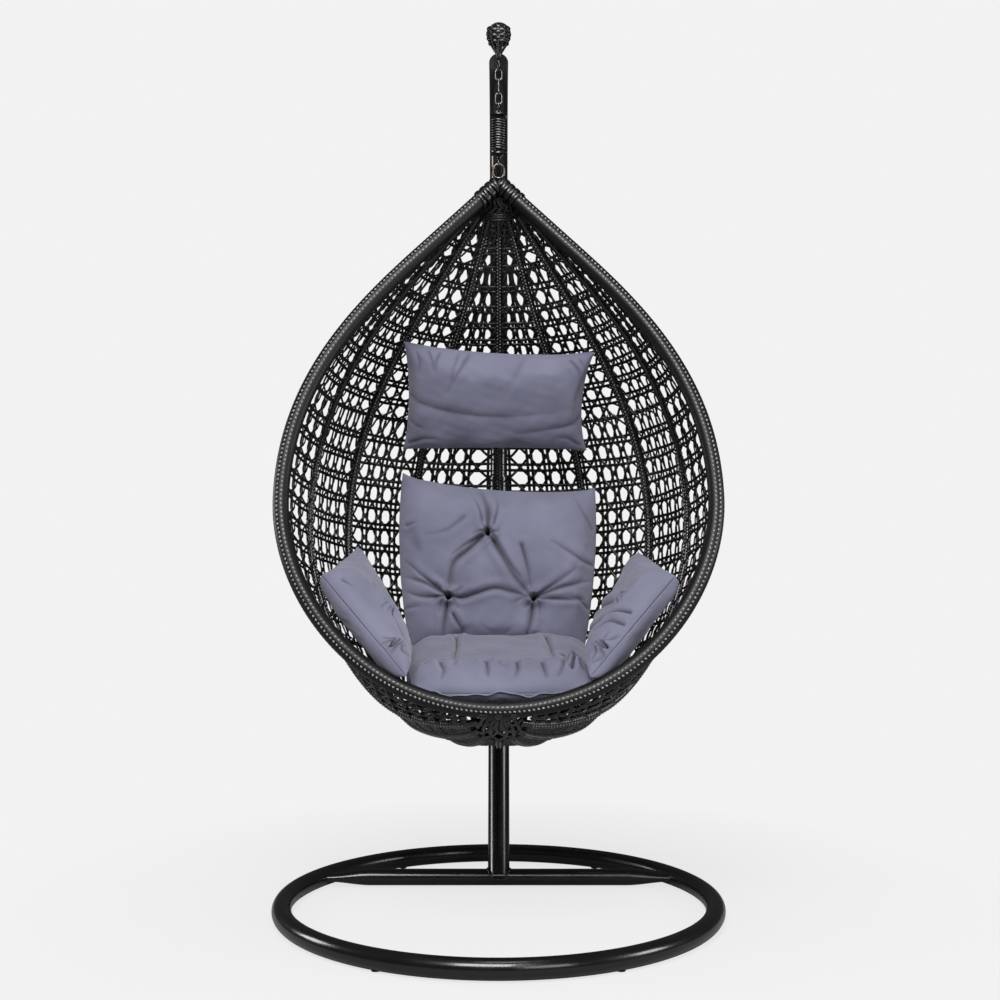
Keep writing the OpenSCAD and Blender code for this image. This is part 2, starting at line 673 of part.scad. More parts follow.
module panel(b, f) {
  nu = panel_columns(b, f);
  nv = band_rows[b];
  function grid(high) = [for (j = [0 : nv]) [for (i = [0 : nu]) let (u = i / nu,
      q = panel_q(f, u), t = row_t(b, q, j / nv)) panel_point(f, u, t) + high * out(t, q)]];
  color(cane_color) place() plate(grid(wall_t / 2), grid(-wall_t / 2), frame = cane_w);
}

// A cross hoop: one wrapped bar between each two ribs
module hoop(t) {
  color(cane_color) place() for (f = [0 : 7])
    skin([for (u = [0, 0.5, 1]) let (q = panel_q(f, u))
      bar_ring(panel_point(f, u, t), down(t, q), out(t, q), hoop_w / 2, wall_t * 0.55, hoop_w / 2)]);
}

module half_hoop() { hoop(band_ts[1]); }
module seat_hoop() { hoop(band_ts[2]); }

// Strips bound over the frame where its bars meet, following the wall: from and to are
// places down the wall, reach is how far they go to each side
apex_wrap_t = 22;
bottom_wrap_t = 12;
module wrap(from, to, reach, thick) {
  nv = 3;
  nu = 8;
  function grid(high) = [for (j = [0 : nv]) [for (i = [0 : nu]) let (
      t = mix(from, to, j / nv), q = mix(-reach, reach, i / nu)) wall(t, q) + high * out(t, q)]];
  color(cane_color) place() plate(grid(thick / 2), grid(-thick / 2));
}

module apex_wrap() { wrap(from = 0.012, to = rib_start + 0.012, reach = 0.8, thick = apex_wrap_t); }
module bottom_wrap() { wrap(from = rib_end + 0.002, to = 0.99, reach = 0.85, thick = bottom_wrap_t); }

// ---------------------------------------------------------------- cushions
// A stuffed cushion about its middle, w along x, h along y, its crowned face towards +z.
// Its sides are drawn in between the corners, and each tuft is [x, y] from its middle.
module cushion(w, h, t, tufts = [], nu = 14, nv = 12, pull = 0.06, seam = 4) {
  tuft_r = 42;
  tuft_deep = 0.42;
  function spread(i, n) = sin(mix(-90, 90, i / n));
  function dent(x, y) = max([0, for (p = tufts) exp(-(pow(x - p[0], 2) + pow(y - p[1], 2)) / pow(tuft_r, 2))]);
  function spot(i, j, side) = let (u = spread(i, nu), v = spread(j, nv),
      x = w / 2 * u * (1 - pull * (1 - v * v) * u * u),
      y = h / 2 * v * (1 - pull * (1 - u * u) * v * v),
      crown = pow(max((1 - u * u) * (1 - v * v), 0), 0.36),
      z = seam / 2 + (t - seam) / 2 * crown * (1 - (side > 0 ? tuft_deep * dent(x, y) : 0)))
    [x, y, side * z];
  function grid(side) = [for (j = [0 : nv]) [for (i = [0 : nu]) spot(i, j, side)]];
  color(cloth_color) plate(grid(1), grid(-1));
}

module head_pillow() {
  place() translate([0, back_y - head_in, low_z + head_up]) rotate([head_lean, 0, 0])
    cushion(2 * (rim_w - head_side), head_h, head_t);
}

module back_cushion() {
  tufts = [[-18, 108], [-112, -42], [78, -46]];
  place() translate([0, back_y - back_pad_in, low_z + back_pad_up]) rotate([back_pad_lean, 0, 0])
    cushion(2 * (rim_w - back_pad_side), back_pad_h, back_pad_t, tufts, nu = 18, nv = 16);
}

arm_x = rim_w - arm_side;
module seat_cushion() {
  tufts = [[-78, 55 - seat_l / 2], [-2, 55 - seat_l / 2]];
  place() translate([0, low_y + seat_in, low_z + seat_up])
    cushion(2 * (arm_x - seat_side), seat_l, seat_t, tufts, nu = 16, nv = 14);
}

module arm_bolster() {
  translate([arm_x, low_y + arm_in, low_z + arm_up]) rotate([0, -arm_lean, 0]) rotate([0, 0, arm_turn])
    cushion(arm_w, arm_l, arm_t);
}
module arm_bolster_left() { place() mirror([1, 0, 0]) arm_bolster(); }
module arm_bolster_right() { place() arm_bolster(); }

base_ring();
floor_pads();
cross_tube();
lower_pole();
upper_pole();
socket_bolts();
end_plug();
hanger_eye();
finial_bud();
chain_link_1();
chain_link_2();
chain_link_3();
upper_bail();
spring();
lower_bail();
swivel_ring();
rim();
apex_wrap();
bottom_wrap();
rib_1();
rib_2();
rib_3();
rib_4();
rib_5();
rib_6();
rib_7();
half_hoop();
seat_hoop();
panel(0, 0);  // upper_panel_1
panel(0, 1);  // upper_panel_2
panel(0, 2);  // upper_panel_3
panel(0, 3);  // upper_panel_4
panel(0, 4);  // upper_panel_5
panel(0, 5);  // upper_panel_6
panel(0, 6);  // upper_panel_7
panel(0, 7);  // upper_panel_8
panel(1, 0);  // middle_panel_1
panel(1, 1);  // middle_panel_2
panel(1, 2);  // middle_panel_3
panel(1, 3);  // middle_panel_4
panel(1, 4);  // middle_panel_5
panel(1, 5);  // middle_panel_6
panel(1, 6);  // middle_panel_7
panel(1, 7);  // middle_panel_8
panel(2, 0);  // lower_panel_1
panel(2, 1);  // lower_panel_2
panel(2, 2);  // lower_panel_3
panel(2, 3);  // lower_panel_4
panel(2, 4);  // lower_panel_5
panel(2, 5);  // lower_panel_6
panel(2, 6);  // lower_panel_7
panel(2, 7);  // lower_panel_8
head_pillow();
back_cushion();
seat_cushion();
arm_bolster_left();
arm_bolster_right();
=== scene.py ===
"""Hanging egg chair: a cane basket with cushions on a curved steel stand. Metres, row frame, front is -Y."""
import json
from math import cos, pi, radians, sin

import bpy
import numpy as np
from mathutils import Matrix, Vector

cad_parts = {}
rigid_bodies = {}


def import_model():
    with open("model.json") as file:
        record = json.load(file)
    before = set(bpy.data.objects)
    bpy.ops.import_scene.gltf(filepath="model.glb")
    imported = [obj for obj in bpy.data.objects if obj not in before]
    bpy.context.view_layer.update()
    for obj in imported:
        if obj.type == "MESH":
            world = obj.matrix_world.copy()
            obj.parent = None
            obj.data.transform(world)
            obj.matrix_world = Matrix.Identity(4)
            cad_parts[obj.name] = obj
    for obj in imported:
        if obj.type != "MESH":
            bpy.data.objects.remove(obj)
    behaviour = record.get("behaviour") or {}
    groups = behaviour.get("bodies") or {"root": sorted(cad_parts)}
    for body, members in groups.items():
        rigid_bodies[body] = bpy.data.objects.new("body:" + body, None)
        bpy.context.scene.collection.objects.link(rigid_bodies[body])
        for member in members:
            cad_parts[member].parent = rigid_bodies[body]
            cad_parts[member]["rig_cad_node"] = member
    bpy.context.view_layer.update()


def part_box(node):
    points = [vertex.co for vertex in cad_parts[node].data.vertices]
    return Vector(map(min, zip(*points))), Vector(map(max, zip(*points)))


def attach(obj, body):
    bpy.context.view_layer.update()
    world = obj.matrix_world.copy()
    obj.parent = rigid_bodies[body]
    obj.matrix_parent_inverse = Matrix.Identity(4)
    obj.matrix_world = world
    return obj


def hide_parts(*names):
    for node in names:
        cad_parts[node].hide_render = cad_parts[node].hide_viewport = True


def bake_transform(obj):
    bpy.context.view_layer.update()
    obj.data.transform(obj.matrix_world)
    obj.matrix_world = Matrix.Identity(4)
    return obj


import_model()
rng = np.random.default_rng(7)
TAU = 2 * pi
UP = np.array([0, 0, 1.0])


def box(node):
    """Lowest corner, highest corner and middle of a CAD node."""
    low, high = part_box(node)
    return low, high, (low + high) / 2


# ---- driving sizes
# The basket's curves are given about the floor ring's middle, which sits at RING_Y in the row frame.
RING_Y = box("base_ring")[2].y
APEX_Z = 1.600
RIM_TILT = radians(16.4)
RIM_LENGTH, RIM_HALF, RIM_WIDEST = 1.157, 0.4485, 0.719
RIM_R = 0.017
# The rim's curve: pulls of its knots, as shares of its half width
SHOULDER, SHOULDER_PULL, ABOVE_WIDEST, BELOW_WIDEST, FOOT_PULL = 0.388, 0.687, 0.553, 0.457, 0.609
# The curve down the middle of the back, under the bowl and up to the rim's low point
BACK_Y, BACK_Z = 0.375, 0.860
CROWN_PULL, CROWN_ANGLE = 0.300, radians(38)
BACK_PULL, BELLY_PULLS, LOW_PULL = 0.26, (0.23, -0.13), 0.06
BELLY_Y, BELLY_Z = 0.03, 0.375
# The level section: round near the apex, squarer below
ROUND_POWER, SQUARE_POWER, SQUARE_FROM, SQUARE_OVER = 2.0, 0.8, 0.12, 0.33
WALL_ENDS = (0.004, 0.996)
RIB_R = 0.008
RIB_TURNS = [-0.755, -0.51, -0.223, 0.0, 0.223, 0.51, 0.755]
RIB_SPAN = (0.034, 0.955)
HOOP_R = 0.0048
HALF_HOOP_T, SEAT_HOOP_T = 0.325, 0.63

CANE_W, CANE_H = 0.0071, 0.0030
TIP = 0.05  # what is left of a strand's section at its ends

# ---- basket surface
SAMPLES = 600


def eased(x):
    """From 0 to 1, level at both ends."""
    return x * x * (3 - 2 * x)


def bezier(a, b, c, d):
    u = np.linspace(0, 1, SAMPLES)[:, None]
    a, b, c, d = map(np.array, (a, b, c, d))
    return a * (1 - u) ** 3 + 3 * b * u * (1 - u) ** 2 + 3 * c * u**2 * (1 - u) + d * u**3


def measured(points):
    """A polyline without its repeated points, and the distance along it."""
    steps = np.linalg.norm(np.diff(points, axis=0), axis=1)
    keep = steps > 1e-9
    return points[np.concatenate([[True], keep])], np.concatenate([[0], np.cumsum(steps[keep])])


shoulder = (RIM_HALF * SHOULDER,) * 2
widest = (RIM_HALF, RIM_WIDEST)
low_point = (-RIM_LENGTH * sin(RIM_TILT), APEX_Z - RIM_LENGTH * cos(RIM_TILT))
rim_line, rim_at = measured(np.concatenate([
    bezier((0, 0), (shoulder[0] / 3,) * 2, (shoulder[0] / 1.5,) * 2, shoulder),
    bezier(shoulder, (RIM_HALF * SHOULDER_PULL,) * 2, (RIM_HALF, RIM_WIDEST - RIM_HALF * ABOVE_WIDEST),
           widest),
    bezier(widest, (RIM_HALF, RIM_WIDEST + RIM_HALF * BELOW_WIDEST), (RIM_HALF * FOOT_PULL, RIM_LENGTH),
           (0, RIM_LENGTH))]))
back_line, back_at = measured(np.concatenate([
    bezier((0, APEX_Z), (CROWN_PULL * sin(CROWN_ANGLE), APEX_Z - CROWN_PULL * cos(CROWN_ANGLE)),
           (BACK_Y, BACK_Z + CROWN_PULL), (BACK_Y, BACK_Z)),
    bezier((BACK_Y, BACK_Z), (BACK_Y, BACK_Z - BACK_PULL), (BELLY_PULLS[0], BELLY_Z), (BELLY_Y, BELLY_Z)),
    bezier((BELLY_Y, BELLY_Z), (BELLY_PULLS[1], BELLY_Z), (low_point[0], low_point[1] - LOW_PULL),
           low_point)]))
STRETCH = back_at[-1] / rim_at[-1]


def rim_point(share):
    """The rim's middle line at a share of its half length, on the right side."""
    x, along = (np.interp(share * rim_at[-1], rim_at, axis) for axis in rim_line.T)
    return np.stack([x, RING_Y - along * sin(RIM_TILT), APEX_Z - along * cos(RIM_TILT)], -1)


def wall(t, q):
    """A point of the basket's wall: t runs from the apex to the rim's low point, q from -1 (left rim) over
    0 (middle of the back) to 1 (right rim)."""
    t, q = np.broadcast_arrays(np.asarray(t, float), np.asarray(q, float))
    t = np.clip(t, *WALL_ENDS)
    rim = rim_point(STRETCH * t - (STRETCH - 1) * t**3)
    back_y, back_z = (np.interp(t * back_at[-1], back_at, axis) for axis in back_line.T)
    power = ROUND_POWER + SQUARE_POWER * eased(np.clip((t - SQUARE_FROM) / SQUARE_OVER, 0, 1))
    turn = np.clip(np.abs(q), 0, 1) * pi / 2
    side = np.sin(turn) ** (2 / power)
    depth = np.maximum(np.cos(turn), 0) ** (2 / power)
    return np.stack([np.sign(q) * rim[..., 0] * side,
                     rim[..., 1] * (1 - depth) + (back_y + RING_Y) * depth,
                     rim[..., 2] * (1 - depth) + back_z * depth], -1)


def unit(v):
    return v / np.maximum(np.linalg.norm(v, axis=-1, keepdims=True), 1e-12)


def outward(t, q, e=2e-3):
    """The wall's way out, from its slopes over a small step e."""
    q = np.clip(q, -1 + 2 * e, 1 - 2 * e)
    down = wall(np.minimum(t + e, 1), q) - wall(np.maximum(t - e, 0), q)
    across = wall(t, q + e) - wall(t, q - e)
    return unit(np.cross(across, down))


# ---- mesh helpers
class Mesh:
    """Gathers swept strands into one smooth-shaded piece."""

    def __init__(self):
        self.points, self.faces, self.count = [], [], 0

    def add(self, points, faces):
        self.points.append(points.reshape(-1, 3))
        self.faces.append(faces + self.count)
        self.count += points.size // 3

    def piece(self, name, material, replaces=(), body="basket"):
        points = np.concatenate(self.points)
        faces = np.concatenate(self.faces)
        mesh = bpy.data.meshes.new(name)
        mesh.vertices.add(len(points))
        mesh.vertices.foreach_set("co", points.astype(np.float32).ravel())
        mesh.loops.add(faces.size)
        mesh.loops.foreach_set("vertex_index", faces.astype(np.int32).ravel())
        mesh.polygons.add(len(faces))
        mesh.polygons.foreach_set("loop_start", np.arange(0, faces.size, faces.shape[1], dtype=np.int32))
        mesh.update(calc_edges=True)
        mesh.validate()
        mesh.polygons.foreach_set("use_smooth", np.ones(len(mesh.polygons), bool))
        mesh.materials.append(material)
        obj = bpy.data.objects.new(name, mesh)
        bpy.context.collection.objects.link(obj)
        if replaces:
            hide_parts(*replaces)
        if body:
            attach(obj, body)
        return obj


def grid_faces(rows, columns, closed=True):
    """Quads of a grid of points, row by row; closed joins the last column to the first."""
    i, k = np.meshgrid(np.arange(rows - 1), np.arange(columns if closed else columns - 1), indexing="ij")
    i, k1 = i * columns, (k + 1) % columns
    return np.stack([i + k, i + k1, i + columns + k1, i + columns + k], -1).reshape(-1, 4)


def level(angle):
    """Unit vectors at angles round the vertical."""
    return np.stack([np.cos(angle), np.sin(angle), 0 * angle], -1)


def frames(path, ups):
    """Side and up directions square to a path; ups is one direction, or one per point."""
    ahead = unit(np.gradient(path, axis=0))
    ups = unit(ups - (ups * ahead).sum(-1, keepdims=True) * ahead)
    return np.cross(ahead, ups), ups


def sampled(values, at, s):
    """Rows of values, given at distances at, read off at the distances s."""
    return np.stack([np.interp(s, at, values[:, c]) for c in range(3)], -1)


def strand(mesh, path, ups, wide=CANE_W, high=CANE_H, sides=6, ends=True):
    """An oval strand along a path, drawn in to a point at both ends."""
    side, up = frames(path, ups)
    angle = np.arange(sides) * TAU / sides
    size = np.ones(len(path))
    if ends:
        size[0] = size[-1] = TIP
    ring = (np.cos(angle)[:, None] * side[:, None] * wide / 2
            + np.sin(angle)[:, None] * up[:, None] * high / 2)
    mesh.add(path[:, None] + ring * size[:, None, None], grid_faces(len(path), sides)[:, ::-1])


def wound(mesh, path, ups, radius, pitch, notch, sides=10, per_turn=3):
    """A tube wound with cane: its rings climb as a screw, with a groove of depth notch between the turns.
    notch is one value, or one per point."""
    path, at = measured(path)
    rings = int(at[-1] / pitch) * per_turn
    k = np.arange(sides)
    s = np.clip((np.arange(rings)[:, None] / per_turn + k / sides) * pitch, 0, at[-1])
    side, up = (unit(sampled(way, at, s)) for way in frames(path, ups))
    groove = (np.arange(rings) % per_turn == 0)[:, None]
    depth = np.interp(s, at, np.broadcast_to(notch, at.shape)) * groove
    angle = (k * TAU / sides)[None, :, None]
    points = sampled(path, at, s) + (radius - depth)[..., None] * (np.cos(angle) * side + np.sin(angle) * up)
    i, j = np.meshgrid(np.arange(rings - 1), np.arange(sides), indexing="ij")
    # The last column joins the first one a turn further on
    i2, j2 = i + np.where(j == sides - 1, per_turn, 0), (j + 1) % sides
    quads = np.stack([i * sides + j, (i + 1) * sides + j, (i2 + 1) * sides + j2, i2 * sides + j2], -1)
    mesh.add(points, quads[i2 + 1 < rings])


# ---- open cane weave
# Fields lie between neighbouring ribs; zones lie between two heights and have a number of rows and, per field
# from the rim inwards, a number of columns of holes.
FIELD_EDGES = [-1.0] + RIB_TURNS + [1.0]
ZONES = [(0.040, 0.112, 3, (1, 1, 1, 1)), (0.112, 0.168, 2, (2, 2, 2, 2)),
         (0.168, HALF_HOOP_T, 7, (3, 3, 3, 3)), (HALF_HOOP_T, SEAT_HOOP_T, 11, (3, 4, 4, 4)),
         (SEAT_HOOP_T, 0.86, 8, (3, 4, 4, 4)), (0.86, 0.93, 3, (2, 3, 3, 3))]
# How far strands run past a zone: slanting ones and upright ones in rows, those across in metres
OVERRUN, UPRIGHT_RUN, SIDE_RUN = 0.22, 0.1, 0.012
SHORTEST = 0.3  # rows; slanting strands below this are left out
RIM_GRIP = RIM_R * 0.9  # strands end this near the rim's middle line
PAIR_GAP, PAIR_MOST = 0.013, 0.17
EDGE_GAP, EDGE_MOST = 0.004, 0.33
JITTER, SLANT_JITTER, WAVER = 0.012, 0.025, 0.02
# Levels and ripples of the strands, as shares of the weave's depth
WEAVE_DEPTH = 0.0030
ACROSS_LEVEL, SLANT_LEVEL, PAIR_RIPPLE, SLANT_RIPPLE = 0.8, 0.4, 0.25, 1.15
BANDS = {"upper": (0, 3), "middle": (3, 4), "lower": (4, 6)}


def weave_field(mesh, f, zone):
    """All strands of one zone between two ribs: pairs down, pairs across, and slanting strands both ways that
    cut the corners of the holes."""
    t0, t1, rows, columns_by_field = zone
    columns = columns_by_field[min(f, 7 - f)]
    q0, q1 = FIELD_EDGES[f], FIELD_EDGES[f + 1]
    left = RIM_GRIP if f == 0 else RIB_R
    right = RIM_GRIP if f == 7 else RIB_R

    def place(u, v, h):
        """u counts columns and v rows; h is the height above the wall."""
        t = t0 + (t1 - t0) * v / rows
        ends = np.linalg.norm(wall(t, q1) - wall(t, q0), axis=-1)
        a = np.minimum((left + EDGE_GAP) / ends, EDGE_MOST)
        b = np.minimum((right + EDGE_GAP) / ends, EDGE_MOST)
        share = np.clip(a + (1 - a - b) * u / columns, 0.01, 0.99)
        q = q0 + (q1 - q0) * share
        out = outward(t, q)
        return wall(t, q) + out * h[..., None], out

    def drift(along, rate):
        return rng.normal(0, JITTER) + WAVER * np.sin(along * rate + rng.uniform(0, 6))

    def ripple(along, share):
        return WEAVE_DEPTH * share * np.cos(along * TAU)

    mid_t = (t0 + t1) / 2
    span = np.linalg.norm(wall(mid_t, q1) - wall(mid_t, q0))
    column_w = max(span - left - right - 2 * EDGE_GAP, 0.01) / columns
    row_h = np.linalg.norm(wall(t1, (q0 + q1) / 2) - wall(t0, (q0 + q1) / 2)) / rows
    pair_u, pair_v = (min(PAIR_GAP / 2 / cell, PAIR_MOST) for cell in (column_w, row_h))
    overhang_u = SIDE_RUN / column_w

    for c in range(columns + 1):
        for d in ([0] if c in (0, columns) else [-pair_u, pair_u]):
            v = np.linspace(-UPRIGHT_RUN, rows + UPRIGHT_RUN, rows * 4 + 1)
            strand(mesh, *place(c + d + drift(v, 0.9), v, ripple(v, PAIR_RIPPLE)))
    for r in range(rows + 1):
        at_hoop = r in (0, rows) and (t0, t1)[r > 0] in (HALF_HOOP_T, SEAT_HOOP_T)
        for d in [] if at_hoop else [-pair_v, pair_v]:
            if (r == 0 and d < 0) or (r == rows and d > 0):
                continue
            u = np.linspace(-overhang_u, columns + overhang_u, columns * 4 + 3)
            height = ripple(u, PAIR_RIPPLE) - WEAVE_DEPTH * ACROSS_LEVEL
            strand(mesh, *place(u, r + d + drift(u, 1.3), height))
    for slant in (1, -1):
        for m in range(-rows - 1, columns + rows + 1):
            offset = m + 0.5
            # The line u = offset + slant * v, kept inside the zone
            ends_v = sorted([(-overhang_u - offset) * slant, (columns + overhang_u - offset) * slant])
            v0, v1 = max(ends_v[0], -OVERRUN), min(ends_v[1], rows + OVERRUN)
            if v1 - v0 < SHORTEST:
                continue
            v = np.linspace(v0, v1, max(4, int((v1 - v0) * 6)))
            u = offset + slant * v + rng.normal(0, SLANT_JITTER)
            height = -WEAVE_DEPTH * SLANT_LEVEL - slant * ripple(v, SLANT_RIPPLE)
            strand(mesh, *place(u, v, height), wide=CANE_W * 0.9)


def build_weave():
    """One piece for each of the 24 panels."""
    for band, (first, last) in BANDS.items():
        for f in range(8):
            mesh = Mesh()
            for zone in ZONES[first:last]:
                weave_field(mesh, f, zone)
            mesh.piece(f"{band}_weave_{f + 1}", CANE, [f"{band}_panel_{f + 1}"])


# ---- ribs, hoops and rim
RIB_PITCH, HOOP_PITCH, RIM_PITCH = 0.0070, 0.0066, 0.0094
RIB_NOTCH, RIB_TOP_NOTCH, HOOP_NOTCH, RIM_NOTCH = 0.0008, 0.0002, 0.0012, 0.00025
SIDE_RIBS = 0.6  # ribs further round than this are smooth at the top
RIB_BEAD_PITCH = 0.0086
RIM_BEAD_TURNS, RIB_BEAD_TURNS = (-9, 24), (-25, 25)  # degrees


def beads(mesh, path, facing, radius, pitch, turns, long, short, rise, lean, grid, ends=0.035):
    """Rows of small domed stitches along a tube, one row at each of the turns (degrees from the facing side).
    Each stitch is long by short (half lengths), rise high and leans by lean degrees."""
    path, at = measured(path)
    facing = np.broadcast_to(unit(facing), path.shape)
    ahead = unit(np.gradient(path, axis=0))
    side = np.cross(ahead, facing)
    a, b = np.meshgrid(np.linspace(-1, 1, grid), np.linspace(-1, 1, grid), indexing="ij")
    height = rise * np.maximum(1 - a**2 - b**2, 0) ** 0.5 - rise * 0.25
    for row, turn in enumerate(turns):
        tilt = radians(lean) * (1 if row else -1)
        for s in np.arange(ends + pitch * row / 2, at[-1] - ends, pitch):
            out, aside, on = (unit(sampled(way, at, s)) for way in (facing, side, ahead))
            along = a * long * cos(tilt) - b * short * sin(tilt)
            around = radians(turn) + (a * long * sin(tilt) + b * short * cos(tilt)) / radius
            out = np.cos(around)[..., None] * out + np.sin(around)[..., None] * aside
            mesh.add(sampled(path, at, s) + on * along[..., None] + out * (radius + height)[..., None],
                     grid_faces(grid, grid, closed=False))


def build_ribs():
    """Wound ribs with stitches outside and inside."""
    t = np.linspace(*RIB_SPAN, 500)
    for n, q in enumerate(RIB_TURNS):
        path, out = wall(t, q), outward(t, q)
        at_side = abs(q) > SIDE_RIBS
        smooth_top = 1 - np.clip((t - 0.30) / 0.1, 0, 1) if at_side else 0 * t
        mesh = Mesh()
        wound(mesh, path, out, RIB_R, RIB_PITCH, RIB_NOTCH + (RIB_TOP_NOTCH - RIB_NOTCH) * smooth_top)
        mesh.piece(f"rib_winding_{n + 1}", CANE, [f"rib_{n + 1}"])
        stitches = Mesh()
        low = t > (0.36 if at_side else 0.05)
        for way in (1, -1):
            beads(stitches, path[low], out[low] * way, RIB_R, RIB_BEAD_PITCH, RIB_BEAD_TURNS,
                  long=0.0019, short=0.0014, rise=0.0016, lean=20, grid=5)
        stitches.piece(f"rib_stitches_{n + 1}", STITCH_PAINTED_HIGHLIGHT)


def build_hoops():
    """The two cross hoops, wound all round."""
    for name, t in (("half_hoop", HALF_HOOP_T), ("seat_hoop", SEAT_HOOP_T)):
        q = np.linspace(-0.985, 0.985, 400)
        mesh = Mesh()
        wound(mesh, wall(t, q), outward(t, q), HOOP_R, HOOP_PITCH, HOOP_NOTCH)
        mesh.piece(f"{name}_winding", CANE, [name])


RIM_FRONT = np.array([0, -cos(RIM_TILT), sin(RIM_TILT)])


def build_rim():
    """The rim, from the apex down the right side and back up the left."""
    right = rim_point(np.linspace(0, 1, 900))
    path = measured(np.concatenate([right, right[::-1][1:] * np.array([-1, 1, 1])]))[0]
    mesh = Mesh()
    wound(mesh, path, RIM_FRONT, RIM_R, RIM_PITCH, RIM_NOTCH, sides=20)
    mesh.piece("rim_winding", SMOOTH, ["rim"])
    # Two rows of stitches: one on the rim's front, one on its outer shoulder
    braid = Mesh()
    beads(braid, path[::-1], RIM_FRONT, RIM_R, RIM_PITCH, RIM_BEAD_TURNS,
          long=0.0028, short=0.0021, rise=0.0022, lean=26, grid=9)
    braid.piece("rim_braid", STITCH_PAINTED_HIGHLIGHT)


# ---- knots, bud and spring
STRIP_W, STRIP_H = 0.0090, 0.0030
APEX_TOP, APEX_FOOT, APEX_SPREAD, APEX_LIFT = 0.014, 0.041, 0.96, 0.0115
LIMB_TURNS, LIMB_FROM, LIMB_RUN = 3.5, 0.004, 0.034
CREST_R, CREST_LEANS = 0.019, (-34, -12, 12, 34)
BOTTOM_TOP, BOTTOM_FOOT, BOTTOM_SPREAD, BOTTOM_LIFT = 0.952, 0.992, 0.9, 0.008
BOTTOM_STRIPS, BOTTOM_REACH = 9, 0.040


def patch(top, foot, spread):
    """A patch of the wall: u runs across it and v down it, each from 0 to 1."""
    def place(u, v):
        t, q = top + (foot - top) * v, spread * (2 * u - 1)
        return wall(t, q), outward(t, q)
    return place


def knot_layer(mesh, place, across, rows, lift):
    """Criss-cross strips over a patch."""
    for slant in (1, -1):
        for m in range(-rows, across + rows + 1):
            v = np.linspace(0, 1, 24)
            u = (m + slant * (v - 0.5) * rows * 0.9 + rng.normal(0, 0.06)) / across
            inside = (u > -0.02) & (u < 1.02)
            if inside.sum() < 4:
                continue
            u, v = u[inside], v[inside]
            points, out = place(u, v)
            wave = lift + slant * STRIP_H * 0.45 * np.cos(v * pi * rows)
            strand(mesh, points + out * wave[:, None], out, wide=STRIP_W, high=STRIP_H)


def build_apex_knot():
    """Wide strips bound over the place where ribs and rim meet, and round both limbs of the rim."""
    mesh = Mesh()
    place = patch(APEX_TOP, APEX_FOOT, APEX_SPREAD)
    for side in (1, -1):
        knot_layer(mesh, place, 7, 3, side * APEX_LIFT)
    # A closed bed under the strips
    points, out = place(*np.meshgrid(np.linspace(0, 1, 24), np.linspace(0, 1, 10), indexing="ij"))
    for side in (1, -1):
        quads = grid_faces(24, 10, closed=False)
        mesh.add(points + out * side * 0.009, quads if side < 0 else quads[:, ::-1])
    # Level turns round the foot of the knot, inside and outside the ribs
    for k in range(3):
        points, out = place(np.linspace(0.02, 0.98, 40), np.full(40, 0.86 + 0.12 * k))
        for side in (1, -1):
            strand(mesh, points + out * side * 0.0125, out, wide=0.0066)
    # Slanting turns round the two limbs, close together at the top
    turns = np.linspace(0, LIMB_TURNS * TAU, 200)
    for limb in (1, -1):
        for slant in (1, -1):
            path = rim_point(LIMB_FROM + LIMB_RUN * turns / turns[-1]) * np.array([limb, 1, 1])
            side, up = frames(path, RIM_FRONT)
            ring = np.cos(turns * slant)[:, None] * side + np.sin(turns * slant)[:, None] * up
            strand(mesh, path + ring * (RIM_R + 0.0020), ring, wide=STRIP_W)
    # The crest, where strips cross right over the apex
    middle = np.array([0, RING_Y + 0.004, APEX_Z - 0.004])
    turn = np.linspace(-2.1, 2.1, 40)
    for lean in np.radians(CREST_LEANS):
        out = np.stack([np.sin(turn) * cos(lean), np.sin(turn) * sin(lean), np.cos(turn)], -1)
        strand(mesh, middle + CREST_R * out, out, wide=STRIP_W)
    mesh.piece("apex_knot", CANE, ["apex_wrap"])


def build_bottom_knot():
    """Strips that tie the ribs' feet to the underside of the rim's low point."""
    mesh = Mesh()
    low, under = rim_point(np.array(1.0)), np.cross(RIM_FRONT, np.array([1.0, 0, 0]))
    turn = np.radians(np.linspace(95, 325, 40))
    ring = np.cos(turn)[:, None] * RIM_FRONT + np.sin(turn)[:, None] * under
    for k, x in enumerate(np.linspace(-BOTTOM_REACH, BOTTOM_REACH, BOTTOM_STRIPS)):
        across = x + 0.010 * np.sin(turn * 0.5 + k) * (-1) ** k
        path = low + ring * (RIM_R + 0.0016) + np.stack([across, 0 * across, 0.9 * across**2], -1)
        strand(mesh, path, ring, wide=0.0078)
    place = patch(BOTTOM_TOP, BOTTOM_FOOT, BOTTOM_SPREAD)
    for side in (1, -1):
        knot_layer(mesh, place, 6, 2, side * BOTTOM_LIFT)
    mesh.piece("bottom_knot", CANE, ["bottom_wrap"])


BUD_SPOKES = 10
# Height and half width along the bud, as shares of its own
BUD_HEIGHTS, BUD_WIDTHS = (0, 0.12, 0.42, 0.62, 0.80, 1.0), (0.10, 0.20, 0.80, 1.0, 0.92, 0.60)
BUD_BANDS = ((0.46, 0.0074), (0.60, 0.0084), (0.74, 0.0078))
BUD_LOOPS = ((0.4, 0.0), (1.45, -0.002), (2.5, -0.001))


